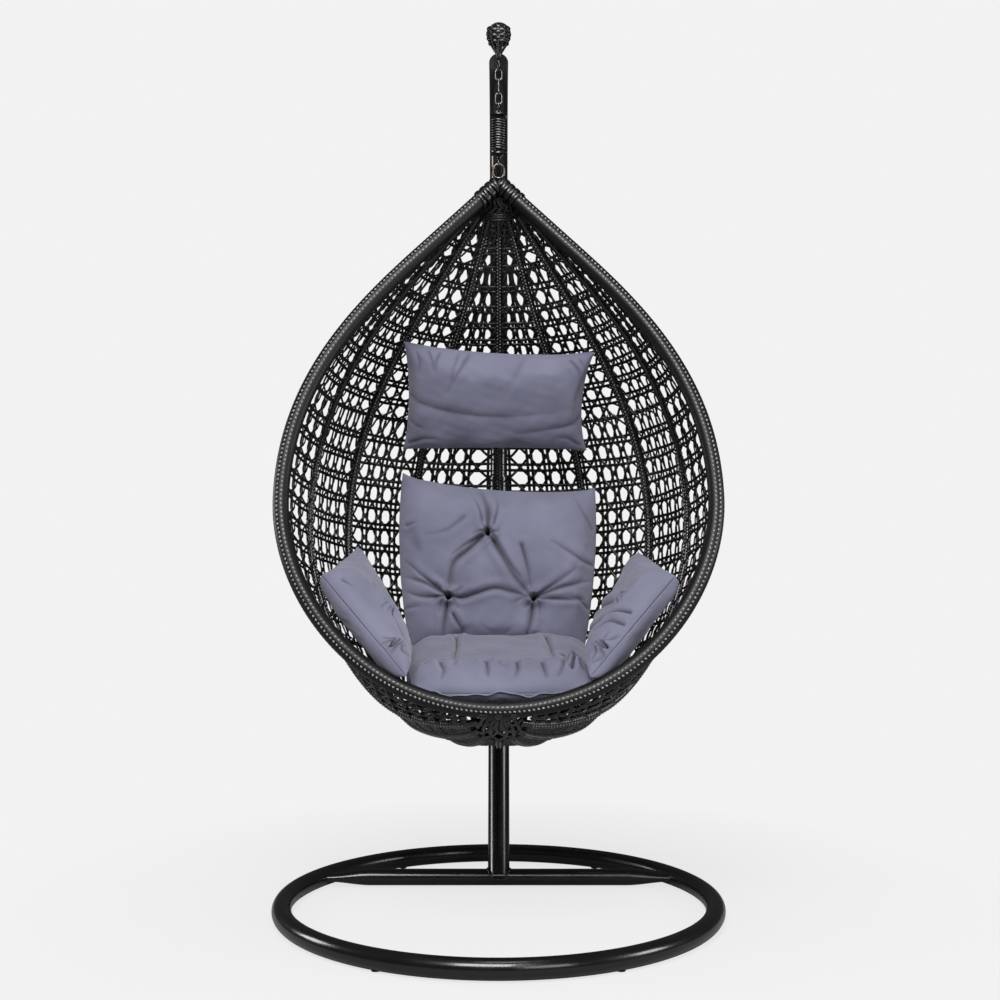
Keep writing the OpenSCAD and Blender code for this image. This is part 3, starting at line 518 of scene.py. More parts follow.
def build_bud():
    """Woven bud: spokes that open from a tied point, three woven bands and looped ends on top."""
    low, high, middle = box("finial_bud")
    axis = np.array([middle.x, middle.y, 0])
    wide, foot, tall = (high.x - low.x) / 2 - 0.0035, low.z + 0.004, high.z - low.z
    mesh = Mesh()

    def profile(h):
        return wide * np.interp(h, BUD_HEIGHTS, BUD_WIDTHS)

    def place(a, r, h):
        out = level(a)
        return axis + out * r[:, None] + UP * (foot + h * tall)[:, None], out

    for k in range(BUD_SPOKES):
        h = np.linspace(0.02, 0.86, 30)
        a = TAU * (k + 0.15 * rng.normal()) / BUD_SPOKES + 0.25 * h
        strand(mesh, *place(a, profile(h), h), wide=0.0058)
    for band, thick in BUD_BANDS:
        for lane in (-1, 1):
            a = np.linspace(0, TAU, 80)
            h = band + lane * 0.034 + 0.006 * np.sin(3 * a + band * 9)
            r = profile(h) + 0.0016 * np.cos(a * BUD_SPOKES / 2 + lane * pi / 2)
            strand(mesh, *place(a, r, h), wide=thick, ends=False)
    for angle, lift in BUD_LOOPS:
        along = level(np.array(angle))
        for lane in (-0.35, 0.35):
            a = np.linspace(0, pi, 30)
            path = axis + np.cross(UP, along) * wide * lane \
                + along * (wide * 0.86 * cos(lane) * np.cos(a))[:, None] \
                + UP * (foot + tall * 0.74 + lift + tall * 0.185 * np.sin(a))[:, None]
            strand(mesh, path, unit(path - axis - UP * (foot + tall * 0.6)), wide=0.0068)
    mesh.piece("bud_weave", CANE, ["finial_bud"], body="stand")


def build_spring():
    """The tension coil, round and smooth, with ends that turn into the two plates."""
    low, high, middle = box("spring")
    wire, turns, sunk = 0.0048, 12, 0.001
    radius = max(high.x - low.x, high.y - low.y) / 2 - wire / 2
    a = np.linspace(0, turns * TAU, turns * 40)
    climb = np.linspace(high.z - wire * 1.6, low.z + wire * 1.6, len(a))
    out = level(a)
    path = np.array([middle.x, RING_Y, 0]) + radius * out + UP * climb[:, None]
    path = np.concatenate([path[:1], path, path[-1:]])
    path[0, 2], path[-1, 2] = high.z + sunk, low.z - sunk
    mesh = Mesh()
    strand(mesh, path, np.concatenate([out[:1], out, out[-1:]]), wide=wire, high=wire, sides=14, ends=False)
    coil = mesh.piece("coil", ZINC, ["spring"], None)
    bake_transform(coil)


# ---- materials
def wire_up(tree, node, inputs):
    """Gives each named input its value, or a link where the value is another node's output."""
    for key, value in inputs.items():
        if isinstance(value, bpy.types.NodeSocket):
            tree.links.new(value, node.inputs[key])
        else:
            node.inputs[key].default_value = value


def add(tree, kind, inputs=None, **settings):
    node = tree.nodes.new("ShaderNode" + kind)
    for key, value in settings.items():
        setattr(node, key, value)
    wire_up(tree, node, inputs or {})
    return node


def shader(name, colour, rough, metal=0.0, sheen=0.0, coat=0.0, specular=0.5):
    mat = bpy.data.materials.new(name)
    mat.use_nodes = True
    node = mat.node_tree.nodes["Principled BSDF"]
    wire_up(mat.node_tree, node, {
        "Base Color": (*colour, 1), "Roughness": rough, "Metallic": metal, "Sheen Weight": sheen,
        "Sheen Roughness": 0.5, "Coat Weight": coat, "Specular IOR Level": specular})
    return mat, mat.node_tree, node


def texture(tree, kind, scale, inputs, **settings):
    where = add(tree, "TexCoord").outputs["Object"]
    return add(tree, kind, {"Vector": where, "Scale": scale, **inputs}, **settings).outputs["Fac"]


def noise(tree, scale, detail):
    return texture(tree, "TexNoise", scale, {"Detail": detail})


def bumped(tree, node, height, strength, distance):
    bump = add(tree, "Bump", {"Strength": strength, "Distance": distance, "Height": height})
    wire_up(tree, node, {"Normal": bump.outputs["Normal"]})


def ramp(tree, factor, low, high, start=0.3, stop=0.7):
    node = add(tree, "ValToRGB", {"Fac": factor})
    for stage, place, colour in zip(node.color_ramp.elements, (start, stop), (low, high)):
        stage.position, stage.color = place, (*colour, 1)
    return node.outputs["Color"]


def grey(value):
    return (value,) * 3


def powder_coat():
    mat, tree, node = shader("powder_coat", (0.006, 0.006, 0.007), 0.24, coat=0.2)
    bumped(tree, node, noise(tree, 900, 2), 0.12, 0.0004)
    wire_up(tree, node, {"Roughness": ramp(tree, noise(tree, 14, 4), grey(0.18), grey(0.28))})
    return mat


def plated(name, low, high, rough):
    mat, tree, node = shader(name, high, rough, metal=1.0)
    cloud = noise(tree, 160, 4)
    wire_up(tree, node, {"Base Color": ramp(tree, cloud, low, high)})
    bumped(tree, node, cloud, 0.15, 0.0005)
    return mat


def rubber():
    mat, tree, node = shader("rubber", grey(0.012), 0.75)
    bumped(tree, node, noise(tree, 500, 3), 0.2, 0.0004)
    return mat


def synthetic_cane():
    mat, tree, node = shader("synthetic_cane", (0.005, 0.0045, 0.005), 0.30, specular=0.7)
    broad = noise(tree, 22, 3)
    wire_up(tree, node, {"Base Color": ramp(tree, broad, (0.003, 0.003, 0.0035), (0.007, 0.0065, 0.007)),
                         "Roughness": ramp(tree, broad, grey(0.24), grey(0.36))})
    bumped(tree, node, noise(tree, 320, 3), 0.25, 0.0005)
    return mat


def smooth_cane():
    mat, tree, node = shader("smooth_cane", (0.004, 0.004, 0.0045), 0.46, specular=0.35)
    bumped(tree, node, noise(tree, 320, 3), 0.25, 0.0005)
    return mat


def stitch_painted_highlight():
    # Painted highlight: a light grey base colour on what is the same dark cane, so the stitches read as shining
    # beads
    mat, tree, node = shader("stitch_painted_highlight", grey(0.24), 0.34, specular=1.0)
    wire_up(tree, node, {"Base Color": ramp(tree, noise(tree, 60, 2), grey(0.13), grey(0.30))})
    return mat


def woven_cloth():
    """Plain weave in grey-violet, with painted shade that darkens it down in the folds and tufts."""
    mat, tree, node = shader("woven_cloth", (0.20, 0.20, 0.27), 0.85, sheen=0.25)
    plain = ramp(tree, noise(tree, 9, 5), (0.140, 0.141, 0.208), (0.185, 0.186, 0.264))
    # Painted shade: the fold attribute darkens the base colour towards a near-black violet
    fold = add(tree, "Attribute", attribute_name="fold").outputs["Fac"]
    share = add(tree, "Math", {0: fold, 1: 0.92}, operation="MULTIPLY").outputs["Value"]
    painted_shade = add(tree, "Mix", {"Factor": share, "A": plain, "B": (0.022, 0.022, 0.034, 1)}, data_type="RGBA")
    wire_up(tree, node, {"Base Color": painted_shade.outputs["Result"]})
    across, down = (texture(tree, "TexWave", 260, {"Distortion": 1.2}, bands_direction=way) for way in "XZ")
    both = add(tree, "Math", {0: across, 1: down}, operation="MULTIPLY")
    bumped(tree, node, both.outputs["Value"], 0.18, 0.0005)
    return mat


STEEL = powder_coat()
ZINC = plated("zinc", (0.055, 0.055, 0.056), (0.15, 0.148, 0.145), 0.30)
BRONZE = plated("bronze_plate", (0.07, 0.055, 0.045), (0.17, 0.14, 0.115), 0.32)
RUBBER = rubber()
CANE = synthetic_cane()
STITCH_PAINTED_HIGHLIGHT = stitch_painted_highlight()
SMOOTH = smooth_cane()
CLOTH = woven_cloth()

# CAD nodes that stay in view; the ones not named here are zinc-plated
FINISH = {"base_ring": STEEL, "lower_pole": STEEL, "upper_pole": STEEL, "socket_bolts": STEEL,
          "floor_pads": RUBBER, "end_plug": RUBBER, "swivel_ring": BRONZE}


def finish_cad():
    for o in bpy.data.objects:
        node = o.get("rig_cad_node")
        if node is not None:
            o.data.materials.clear()
            o.data.materials.append(FINISH.get(node, ZINC))


# ---- stand details
FLAT_LENGTH, FLAT_SHARE = 0.105, 0.52
WELD_R, POLE_FOOT_R = 0.0026, 0.0255


def build_cross_tube(rows=220, sides=48):
    """The tube across the ring: its two ends are pressed flat where they are welded to the ring."""
    low, high, middle = box("cross_tube")
    half = high - middle
    x = np.linspace(low.x, high.x, rows)[:, None]
    turn = np.linspace(0, TAU, sides, endpoint=False)
    near_end = np.clip(1 - np.minimum(x - low.x, high.x - x) / FLAT_LENGTH, 0, 1)
    press = 1 - (1 - FLAT_SHARE) * eased(near_end)
    points = np.stack(np.broadcast_arrays(x, middle.y + half.y * np.cos(turn),
                                          middle.z + half.z * press * np.sin(turn)), -1)
    mesh = Mesh()
    mesh.add(points, grid_faces(rows, sides))
    for k in (0, -1):
        cap = np.stack([points[k], np.broadcast_to(points[k].mean(0), (sides, 3))])
        mesh.add(cap if k else cap[::-1], grid_faces(2, sides))
    mesh.piece("cross_tube_pressed", STEEL, ["cross_tube"], "stand")


def build_welds():
    """A lumpy weld bead round the pole's foot, on top of the cross tube."""
    _, high, middle = box("cross_tube")
    tube_r = high.z - middle.z
    turn = np.linspace(0, TAU, 120)
    radius = POLE_FOOT_R + 0.0005 * np.sin(turn * 17) + 0.0003 * np.sin(turn * 29 + 1)
    y = radius * np.sin(turn)
    drop = tube_r - np.sqrt(np.maximum(tube_r**2 - y**2, 0))
    path = np.stack([radius * np.cos(turn), middle.y + y, high.z - drop + 0.0008], -1)
    mesh = Mesh()
    strand(mesh, path, UP, wide=2 * WELD_R, high=1.6 * WELD_R, sides=8, ends=False)
    mesh.piece("pole_weld", STEEL, body="stand")


# ---- studio
BACKDROP = (0.888, 0.888, 0.893)
SKY, SKY_IN_SHINE = 0.19, 0.05
FLOOR_SEEN, FLOOR_UNSEEN = (0.72, 0.72, 0.725), (0.34, 0.34, 0.345)
FLOOR_R, FLOOR_Z, FLOOR_SHADE, SHADE_R = 2.6, -0.0005, 0.16, 1.3
LAMPS = (("key", (-0.4, -2.7, 3.2), 1.6, 126), ("fill", (1.3, -3.1, 1.7), 1.3, 24),
         ("side_left", (-2.6, 0.5, 1.2), 0.8, 22), ("side_right", (2.5, -0.7, 1.2), 0.8, 22),
         ("top", (0.1, -0.6, 3.6), 0.8, 8))
AIM = Vector((0, 0, 0.9))
CAMERA_X, CAMERA_BACK, CAMERA_Z, LENS, SENSOR = 0.003, 3.328, 0.906, 54.6, 36.0


def studio():
    """An even sky that the camera sees as the pale backdrop, and five soft lamps."""
    world = bpy.data.worlds.new("studio")
    bpy.context.scene.world = world
    world.use_nodes = True
    tree = world.node_tree
    white = (1, 1, 1, 1)
    rays = add(tree, "LightPath").outputs
    sky = tree.nodes["Background"]
    wire_up(tree, sky, {"Color": white, "Strength": SKY})
    dim = add(tree, "Background", {"Color": white, "Strength": SKY_IN_SHINE})
    plain = add(tree, "Background", {"Color": (*BACKDROP, 1)})
    shine = add(tree, "MixShader", {"Fac": rays["Is Glossy Ray"], 1: sky.outputs[0], 2: dim.outputs[0]})
    mix = add(tree, "MixShader", {"Fac": rays["Is Camera Ray"], 1: shine.outputs[0], 2: plain.outputs[0]})
    wire_up(tree, tree.nodes["World Output"], {"Surface": mix.outputs[0]})
    for name, place, size, watts in LAMPS:
        data = bpy.data.lights.new(name, "AREA")
        data.size, data.energy = size, watts
        lamp = bpy.data.objects.new(name, data)
        lamp.location = place
        lamp.rotation_euler = (AIM - Vector(place)).to_track_quat("-Z", "Y").to_euler()
        bpy.context.collection.objects.link(lamp)


def floor(rings=10, turns=72):
    """A pale floor that the camera sees in the backdrop's tone, with a faint shadow that fades out."""
    mat, tree, lit = shader("pale_floor", FLOOR_SEEN, 0.9)
    seen = add(tree, "LightPath").outputs["Is Camera Ray"]
    glow = add(tree, "Emission", {"Color": (*BACKDROP, 1)})
    shade = add(tree, "Mix", {"Factor": seen, "A": (*FLOOR_UNSEEN, 1), "B": (*FLOOR_SEEN, 1)},
                data_type="RGBA")
    wire_up(tree, lit, {"Base Color": shade.outputs["Result"]})
    shape = add(tree, "Mapping", {"Vector": add(tree, "TexCoord").outputs["Object"],
                                  "Location": (0, -RING_Y / SHADE_R, 0), "Scale": grey(1 / SHADE_R)})
    fade = add(tree, "TexGradient", {"Vector": shape.outputs["Vector"]}, gradient_type="SPHERICAL")
    share = ramp(tree, fade.outputs["Fac"], grey(0.0), grey(FLOOR_SHADE), 0.0, 0.5)
    rest = add(tree, "Math", {0: 1.0, 1: seen}, operation="SUBTRACT", use_clamp=True)
    part = add(tree, "Math", {0: share, 1: rest.outputs["Value"]}, operation="MAXIMUM")
    mix = add(tree, "MixShader", {"Fac": part.outputs["Value"], 1: glow.outputs[0], 2: lit.outputs[0]})
    wire_up(tree, tree.nodes["Material Output"], {"Surface": mix.outputs[0]})
    radius = np.linspace(0, FLOOR_R, rings + 1)[:, None]
    angle = np.linspace(0, TAU, turns, endpoint=False)
    mesh = Mesh()
    mesh.add(radius[..., None] * level(angle) + np.array([0, RING_Y, FLOOR_Z]), grid_faces(rings + 1, turns))
    mesh.piece("floor", mat, body=None)


def camera():
    data = bpy.data.cameras.new("camera")
    data.sensor_width, data.lens = SENSOR, LENS
    cam = bpy.data.objects.new("camera", data)
    cam.location = (CAMERA_X, RING_Y - CAMERA_BACK, CAMERA_Z)
    cam.rotation_euler = (radians(90), 0, 0)
    bpy.context.collection.objects.link(cam)
    bpy.context.scene.camera = cam


# ---- cushions
# Each cushion is drawn about its middle: x to the right, y up or back, z out of its crowned face. Plans,
# folds, tufts and bumps are written in millimetres.
MM = 0.001
# A fold's valley and lips, as multiples of its width or shares of its depth, and the size of the painted shade
# down in its valley
LIP_AT, LIP_WIDTH, LIP_RISE, FOLD_SHADE_WIDTH, FOLD_SHADE_FULL_DEPTH, FOLD_REACH = 2.6, 2.0, 0.38, 0.75, 0.008, 1.12


def mm(rows):
    return np.array(rows, float) * MM


def turned(x):
    """A turn about X, in degrees."""
    c, s = cos(radians(x)), sin(radians(x))
    return np.array([[1, 0, 0], [0, c, -s], [0, s, c]])


def crease(x, y, points, depth, width):
    """A pinched fold along a polyline: a sharp valley between two soft lips, fading towards the last point.
    Returns the lift and a mask of painted shade down in the valley."""
    best, share = np.full(x.shape, np.inf), np.zeros(x.shape)
    steps = np.diff(points, axis=0)
    lengths = np.linalg.norm(steps, axis=1)
    run = 0.0
    for a, d, length in zip(points, steps, lengths):
        s = np.clip(((x - a[0]) * d[0] + (y - a[1]) * d[1]) / (d @ d), 0, 1)
        gap = np.hypot(x - a[0] - s * d[0], y - a[1] - s * d[1])
        near = gap < best
        best = np.where(near, gap, best)
        share = np.where(near, (run + s * length) / lengths.sum(), share)
        run += length
    fade = np.clip(FOLD_REACH - share, 0, 1) ** 0.7
    valley = np.exp(-((best / width) ** 1.25))
    lips = np.exp(-(((best / width - LIP_AT) / LIP_WIDTH) ** 2))
    fold_shade = np.exp(-((best / width / FOLD_SHADE_WIDTH) ** 2)) * min(depth / FOLD_SHADE_FULL_DEPTH, 1)
    return depth * (LIP_RISE * lips - valley) * fade, fold_shade * fade


def smoothed(points, parts=6):
    """A polyline drawn as a soft curve through its points."""
    if len(points) < 3:
        return points
    full = np.concatenate([2 * points[:1] - points[1:2], points, 2 * points[-1:] - points[-2:-1]])
    s = np.linspace(0, 1, parts, endpoint=False)[:, None]
    spans = [0.5 * (2 * b + (c - a) * s + (2 * a - 5 * b + 4 * c - d) * s**2 + (3 * b - a - 3 * c + d) * s**3)
             for a, b, c, d in zip(full, full[1:], full[2:], full[3:])]
    return np.concatenate([*spans, points[-1:]])


def star(centre, count, reach, depth, seed, width=3.2):
    """Short creases that run out from a tuft, in mm."""
    local = np.random.default_rng(seed)
    x, y = centre
    rays = []
    for k in range(count):
        a = TAU * (k + local.uniform(-0.25, 0.25)) / count
        r = reach * local.uniform(0.55, 1.1)
        bend = a + local.uniform(-0.35, 0.35)
        rays.append((centre, (x + 0.5 * r * cos(a), y + 0.5 * r * sin(a)), (x + r * cos(bend), y + r * sin(bend)),
                     depth, width))
    return rays


def soft_noise(x, y, seed, sizes=((0.13, 1.0), (0.065, 0.5), (0.030, 0.16)), waves=5):
    """Slow swells over the cloth, made of a few crossing waves of each size."""
    local = np.random.default_rng(seed)
    total = np.zeros(x.shape)
    for size, weight in sizes:
        for _ in range(waves):
            a = local.uniform(0, TAU)
            k = TAU / (size * local.uniform(0.75, 1.35))
            total += weight / waves * np.sin(k * (x * cos(a) + y * sin(a)) + local.uniform(0, 6.28))
    return total


def blended(u, v, corners):
    """What the four corners (low left, low right, high right, high left) say, blended over a cushion."""
    a, b = (u[..., None] + 1) / 2, (v[..., None] + 1) / 2
    ll, lr, hr, hl = corners
    return (1 - a) * (1 - b) * ll + a * (1 - b) * lr + a * b * hr + (1 - a) * b * hl


def outline(u, v, corners, bow):
    """Plan of a cushion between its corners; bow pushes its left, right, low and high sides out, or in when
    negative."""
    a, b = (u + 1) / 2, (v + 1) / 2
    flat = blended(u, v, corners)
    flat[..., 0] += (1 - v**2) * (bow[1] * a**2 - bow[0] * (1 - a) ** 2)
    flat[..., 1] += (1 - u**2) * (bow[3] * b**2 - bow[2] * (1 - b) ** 2)
    return flat


# Cloth simulation: cell of the coarse cover, frames, air pressure, and how far a point may move
SIM_CELL, SIM_FRAMES, PRESSURE, SIM_CAP = 0.0065, 20, 4.0, 0.012
SEWN_EXTRA = 0.0065  # the air pulls the seams in, so the cover is sewn this much larger
SPREAD_ROUNDS = 6


def blown_up(face, rear):
    """Cloth simulation with air pressure on a coarse closed cover. Returns the moves of its face and its rear,
    which share the points round the seam."""
    rows, columns = face.shape[:2]
    of_face = np.arange(rows * columns).reshape(rows, columns)
    of_rear, inner = of_face.copy(), rear[1:-1, 1:-1]
    of_rear[1:-1, 1:-1] = rows * columns + np.arange(inner[..., 0].size).reshape(inner.shape[:2])
    start = np.concatenate([face.reshape(-1, 3), inner.reshape(-1, 3)])
    quads = grid_faces(rows, columns, closed=False)
    quads = np.concatenate([of_face.ravel()[quads[:, ::-1]], of_rear.ravel()[quads]])
    cover = bpy.data.meshes.new("cover")
    cover.from_pydata(start.tolist(), [], quads.tolist())
    obj = bpy.data.objects.new("cover", cover)
    bpy.context.collection.objects.link(obj)
    cloth = obj.modifiers.new("cloth", "CLOTH")
    air = cloth.settings
    air.quality, air.use_pressure, air.uniform_pressure_force = 5, True, PRESSURE
    air.effector_weights.gravity = 0
    cloth.collision_settings.use_collision = False
    cloth.point_cache.frame_end = SIM_FRAMES
    for frame_number in range(1, SIM_FRAMES + 1):
        bpy.context.scene.frame_set(frame_number)
    solved = obj.evaluated_get(bpy.context.evaluated_depsgraph_get()).to_mesh()
    moved = np.empty(len(start) * 3, np.float32)
    solved.vertices.foreach_get("co", moved)
    move = moved.reshape(-1, 3).astype(float) - start
    length = np.linalg.norm(move, axis=-1, keepdims=True)
    move *= np.tanh(length / SIM_CAP) * SIM_CAP / np.maximum(length, 1e-9)
    bpy.data.objects.remove(obj)
    bpy.context.scene.frame_set(1)
    return move[of_face], move[of_rear]


def spread_over(move, u, v):
    """Carries moves of an even coarse grid over to the fine grid with values u and v, smoothly."""
    rows, columns = move.shape[:2]
    even_u, even_v = np.linspace(-1, 1, rows), np.linspace(-1, 1, columns)
    across = np.stack([sampled(row, even_v, v[0]) for row in move])
    fine = np.stack([sampled(across[:, j], even_u, u[:, 0]) for j in range(v.shape[1])], 1)
    for _ in range(SPREAD_ROUNDS):
        fine[1:-1] = (fine[:-2] + 2 * fine[1:-1] + fine[2:]) / 4
        fine[:, 1:-1] = (fine[:, :-2] + 2 * fine[:, 1:-1] + fine[:, 2:]) / 4
    return fine


HALF_SEAM, SEAM_AT = 0.0004, 0.99999
EDGE_RISE, BOX_POWER, ROUND, ROLL_WIDTH = 2.2, 8, 0.45, 0.020
# Painted shade in a tuft's dimple: how dark its middle is, and how far that reaches
TUFT_SHADE, TUFT_SHADE_R = 0.8, 0.005
CROWN = 0.40
LIP_H, LIP_OUT, LIP_WAVES = 0.0026, 0.55, ((0.0035, 46, 0), (0.0025, 83, 1), (0.0015, 151, 2))


def cushion(name, node, size, place, matrix, corners, bow, folds, seed, count, swell, tufts=(),
            bumps=(), boxed=0.0, pinched=0.0, under=1.0, groove=0.0015, flange=0.0, warp=(0, 0, 0, 0), roll=None):
    """A stuffed cover, size thick: a face and a back that meet at a seam.
    In mm are corners and bow (see outline), folds as (points ..., depth, width), tufts as (x, y, share of the
    thickness, reach), bumps as (x, y, height, reach) where the filling gathers, and roll as (line, share): past
    that line the face drops by that share. boxed gives upright sides, which pinched takes away towards the top;
    under is the back's share of the crown, and warp lifts the corners."""
    corners, bow = mm(corners), mm(bow)
    corners += np.sign(corners) * SEWN_EXTRA
    nu, nv = count
    u, v = np.meshgrid(*[np.sin(np.linspace(-pi / 2, pi / 2, n)) for n in count], indexing="ij")

    def form(u, v):
        """Plan, crown and lift of the plain stuffed cover."""
        plan = outline(u, v, corners, bow)
        crown = (np.clip(1 - u**2, 0, 1) * np.clip(1 - v**2, 0, 1)) ** (CROWN + ROUND * pinched * (1 + v) / 2)
        box = boxed * (1 - pinched * np.clip((v + 0.6) / 1.6, 0, 1) ** 1.5)
        sides = (np.clip(1 - u**BOX_POWER, 0, 1) * np.clip(1 - v**BOX_POWER, 0, 1)) ** ROUND
        crown = crown * (1 - box) + box * sides
        lift = size / 2 * crown
        if roll:
            line = mm(roll[0])
            past = plan[..., 1] - np.interp(plan[..., 0], line[:, 0], line[:, 1])
            lift = lift * (1 - roll[1] * eased(np.clip(past / ROLL_WIDTH, 0, 1)))
        return plan, crown, lift

    plan, crown, lift = form(u, v)
    x, y = plan[..., 0], plan[..., 1]
    edge = np.clip(crown * EDGE_RISE, 0, 1)
    # inner gathers painted shade for the cloth's colour: darker in the tufts' dimples and down the folds
    inner = np.zeros(x.shape)
    for tx, ty, depth, reach in tufts:
        r = np.hypot(x - tx * MM, y - ty * MM)
        lift = lift * (1 - depth * np.exp(-((r / reach / MM) ** 1.5)))
        inner = np.maximum(inner, TUFT_SHADE * np.exp(-((r / TUFT_SHADE_R) ** 2)))
    for *points, depth, width in folds:
        fold, fold_shade = crease(x, y, smoothed(mm(points)), depth * MM, width * MM)
        lift += fold * edge
        inner = np.maximum(inner, fold_shade * edge)
    for bx, by, height, reach in mm(bumps):
        lift += height * np.exp(-(((x - bx) ** 2 + (y - by) ** 2) / reach**2)) * edge
    lift += soft_noise(x, y, seed) * swell * edge
    rear_lift = size / 2 * under * crown + soft_noise(x, y, seed + 1) * swell * edge
    seam_in = np.where((np.abs(u) > SEAM_AT) | (np.abs(v) > SEAM_AT), groove, 0.0)
    pull = 1 - seam_in / np.maximum(np.hypot(x, y), 0.02)
    droop = blended(u, v, np.reshape(warp, (4, 1)))[..., 0]
    face, rear = (np.stack([x * pull, y * pull, height + droop], -1)
                  for height in (HALF_SEAM + np.maximum(lift, 0), -HALF_SEAM - rear_lift))
    rough = [np.linspace(-1, 1, int(np.ptp(along) / SIM_CELL)) for along in (x, y)]
    rough = np.meshgrid(*rough, indexing="ij")
    flat, rough_crown, rough_lift = form(*rough)
    moves = blown_up(*[np.concatenate([flat, height[..., None]], -1)
                       for height in (rough_lift, -size / 2 * under * rough_crown)])
    face, rear = (part + spread_over(move, u, v) for part, move in zip((face, rear), moves))

    def put(points):
        return points @ matrix.T + np.array(place) + np.array([0, RING_Y, 0])

    mesh = Mesh()
    quads = grid_faces(nu, nv, closed=False)
    mesh.add(put(face), quads[:, ::-1])
    mesh.add(put(rear), quads)
    around = np.concatenate([np.arange(nv), nv - 1 + nv * np.arange(1, nu), nu * nv - 2 - np.arange(nv - 1),
                             nv * np.arange(nu - 2, 0, -1)])
    following = np.roll(around, -1)
    mesh.faces.append(np.stack([around, following, following + nu * nv, around + nu * nv], -1))
    obj = mesh.piece(name, CLOTH, [node])
    # Painted shade: the darkening mask goes on the face's points as the fold attribute, which the cloth reads
    painted_shade = obj.data.attributes.new("fold", "FLOAT", "POINT")
    painted_shade.data.foreach_set("value", np.concatenate([inner.ravel(), np.zeros(inner.size)]).astype(np.float32))
    if flange:
        # A flat wavy lip where the two covers are sewn together
        loop = ((face + rear).reshape(-1, 3)[around] / 2)[::3]
        loop = np.concatenate([loop, loop[:1]])
        run = measured(loop)[1]
        wave = sum(high * np.sin(run * rate + start) for high, rate, start in LIP_WAVES)
        loop = loop + unit(loop * np.array([1, 1, 0])) * flange * LIP_OUT + UP * wave[:, None]
        lip = Mesh()
        strand(lip, put(loop), matrix[:, 2], wide=flange, high=LIP_H, sides=8, ends=False)
        lip.piece(name + "_flange", CLOTH)


def facing_in(side):
    """Axes of an arm cushion that leans on the wall at one side and faces inwards and up."""
    across = unit(np.array([0.604, side * 0.246, side * 0.758]))
    out = unit(np.cross(across, np.array([-side * 0.03, 0.987, 0.154])))
    return np.stack([across, np.cross(out, across), out], -1)


def head_pillow():
    folds = [
        ((-162, 122), (-153, 100), (-150, 82), 5, 4.2), ((-136, 120), (-145, 100), (-147, 75), 5, 4),
        ((-66, 118), (-86, 90), (-118, 28), 4.6, 5), ((-92, 118), (-104, 88), (-107, 50), 3.6, 4.2),
        ((-190, 118), (-182, 95), (-184, 70), 4, 4), ((169, 98), (186, 70), (190, 50), 5, 4.2),
        ((190, 98), (205, 70), 4, 3.6), ((58, 108), (30, 60), (10, 20), 2, 9),
        ((-212, 6), (-127, -16), (-11, -28), (128, -22), 3.4, 8), ((204, -54), (128, -64), (41, -74), 3.6, 7),
        ((-215, -120), (-180, -98), (-150, -94), 4.4, 4.5), ((196, -125), (165, -98), (140, -90), 4, 4.5),
        ((-216, -60), (-175, -66), 3, 5)]
    cushion("head_pillow_cover", "head_pillow", 0.096, (0, 0.164, 1.149), turned(120),
            corners=((-226, -140), (208, -143), (219, 104), (-215, 131)), bow=(-8, -16, -2, -12),
            folds=folds, seed=11, count=(190, 170), swell=0.0034)


def back_pad():
    top, left, right = (-25.6, 44.7), (-116, -104), (79.3, -107)
    folds = [
        (top, (-25.6, 98), (-46, 160), 17, 6.2), ((-12, 64), (-4, 95), (-2, 130), 6, 4.2),
        ((-38, 70), (-46, 100), (-60, 130), 5, 4.2), (top, (-69, 3), (-104, -33), left, 17, 5.6),
        ((-40, 36), (-78, 12), (-108, -10), 7, 4), (top, (6, -9), (41, -68), right, 18, 5.6),
        ((52, 12), (66, -40), (76, -92), 7, 4.6), ((-6, 20), (22, -28), (50, -62), 6, 3.6),
        (left, (-82, -106), (-52, -98), (-8, -87), (30, -95), right, 14, 5),
        (left, (-122, -146), (-137, -215), 15, 5.2), ((-104, -146), (-90, -175), (-82, -215), 8, 4.4),
        (right, (73.6, -158), (63, -222), 15, 5.2), (left, (-163, -76), (-226, -58), 10, 4.6),
        (left, (-174, -58), (-224, -22), 8, 4.4), (left, (-178, -104), (-226, -92), 8, 4.4),
        ((-228, -130), (-190, -126), 5, 4), (right, (129, -74), (182, -38), 8, 4.8),
        (right, (129, -88), (176, -76), (226, -66), 10, 4.6), (right, (150, -111), (206, -112), 8, 4.4),
        ((216, -132), (190, -112), (165, -106), 6, 4.4), ((-224, 66), (-196, 69), 5, 3.8),
        ((-81, 78), (-122, 48), (-170, 38), 4, 5), ((228, -27), (187, -14), (123, 22), 6, 5),
        ((226, 60), (200, 100), (181, 130), 4, 6)]
    stars = star(top, 8, 40, 6, 3) + star(left, 8, 40, 6, 4) + star(right, 8, 40, 6, 5)
    cushion("back_pad", "back_cushion", 0.136, (0, 0.209, 0.777), turned(79),
            corners=((-208, -212), (198, -224), (230, 157), (-230, 192)), bow=(16, 14, 4, -16),
            folds=folds + stars, tufts=[(*top, 0.34, 40), (*left, 0.36, 40), (*right, 0.36, 40)],
            seed=23, count=(300, 280), swell=0.0036)


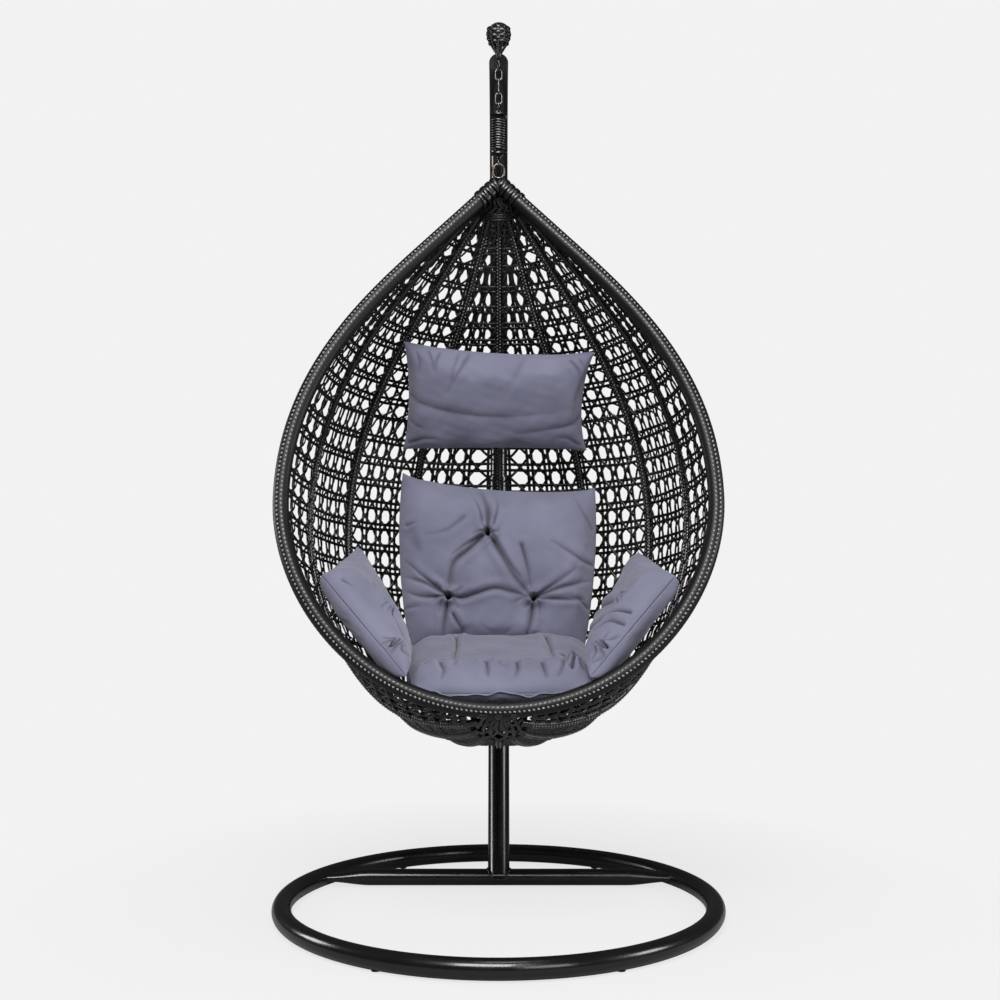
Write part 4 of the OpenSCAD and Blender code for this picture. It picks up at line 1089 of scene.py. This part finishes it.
def seat_pad():
    folds = [
        ((-96, 200), (-92, 50), (-94, -60), (-88, -128), 16, 6),
        ((108, 200), (112, 50), (116, -60), (118, -120), 13, 6),
        ((-170, -118), (-100, -130), (-20, -132), (60, -136), (130, -122), 20, 8),
        ((50, -134), (75, -100), (112, -92), (140, -100), 12, 5.6),
        ((-160, -100), (-110, -104), (-60, -98), 8, 5), ((150, -20), (165, -70), (180, -120), 10, 5.2),
        ((132, -40), (150, -90), (160, -130), 8, 4.6), ((-27, -150), (-22, -180), (-22, -205), 10, 4.6),
        ((37, -150), (40, -178), (36, -200), 9, 4.6), ((-120, -150), (-112, -180), (-118, -205), 7, 4.8),
        ((88, -150), (94, -180), (100, -205), 9, 4.6), ((128, -140), (134, -170), (124, -200), 14, 4.6),
        ((150, -185), (165, -160), (185, -150), 12, 4.2)]
    pulls = (-78, -148), (-4, -148)
    stars = star(pulls[0], 6, 26, 4, 6) + star(pulls[1], 6, 26, 4, 7) + star((158, -168), 7, 34, 9, 8)
    cushion("seat_pad", "seat_cushion", 0.080, (0, -0.086, 0.540), turned(5.5),
            corners=((-172, -214), (200, -205), (205, 262), (-202, 262)), bow=(12, 8, 12, 0),
            folds=folds + stars, tufts=[(*pull, 0.10, 30) for pull in pulls],
            bumps=[(155, -165, 18, 36), (0, -178, 3, 100)], seed=31, boxed=0.66, under=0.8,
            roll=(((0, -142), (100, -142)), 0.20), count=(260, 260), swell=0.0034, flange=0.0075)


def arm_pad(side, name):
    if side < 0:
        corners = ((-90, -110), (184, -160), (84, 120), (-186, 206))
        line = ((-125, -116), (-85, -76), (-50, -44), (12, -6), (70, -14), (130, -50))
        folds = [
            (*line, 20, 7.5), ((50, -60), (85, -75), (120, -110), 8, 5),
            ((30, -55), (0, -10), (-50, 30), 10, 5.6), ((30, -55), (55, 0), (75, 60), 9, 5.4),
            ((-60, -110), (-35, -104), 5, 4)]
        button, share, warp = (30, -55), 0.28, (0.004, 0.034, 0.0, 0.030)
        stars = star(button, 7, 36, 6, 12) + star((122, -150), 7, 40, 7, 13)
    else:
        corners = ((-184, -160), (90, -110), (174, 196), (-84, 120))
        line = ((-130, -75), (-60, -70), (0, -62), (60, -64), (110, -80))
        folds = [
            (*line[::-1], 20, 7.5), ((-18, 150), (-6, 50), (10, -50), 17, 6.6),
            ((-78, 110), (-62, 20), (-40, -40), 13, 5.6), ((-30, -130), (-45, -95), (-70, -80), 9, 4.6),
            ((-60, -140), (-70, -110), (-100, -95), 7, 4.6)]
        button, share, warp = (5, -40), 0.26, (0.034, 0.004, 0.028, 0.0)
        stars = star(button, 7, 36, 6, 14) + star((-122, -150), 7, 40, 7, 15)
    cushion(f"arm_pad_{name}", f"arm_bolster_{name}", 0.066, (side * 0.282, -0.128, 0.664), facing_in(side),
            corners=corners, bow=(4, 4, 4, -6), folds=folds + stars, tufts=[(*button, share, 40)],
            seed=41 + side, boxed=0.82, pinched=0.9, count=(200, 220), swell=0.0032, groove=0.004,
            warp=warp, roll=(line, 0.38))


build_cross_tube()
build_welds()
studio()
floor()
camera()
finish_cad()
build_weave()
build_ribs()
build_hoops()
build_rim()
build_apex_knot()
build_bottom_knot()
build_bud()
build_spring()
head_pillow()
back_pad()
seat_pad()
arm_pad(-1, "left")
arm_pad(1, "right")

bpy.context.scene.view_settings.view_transform = "Standard"
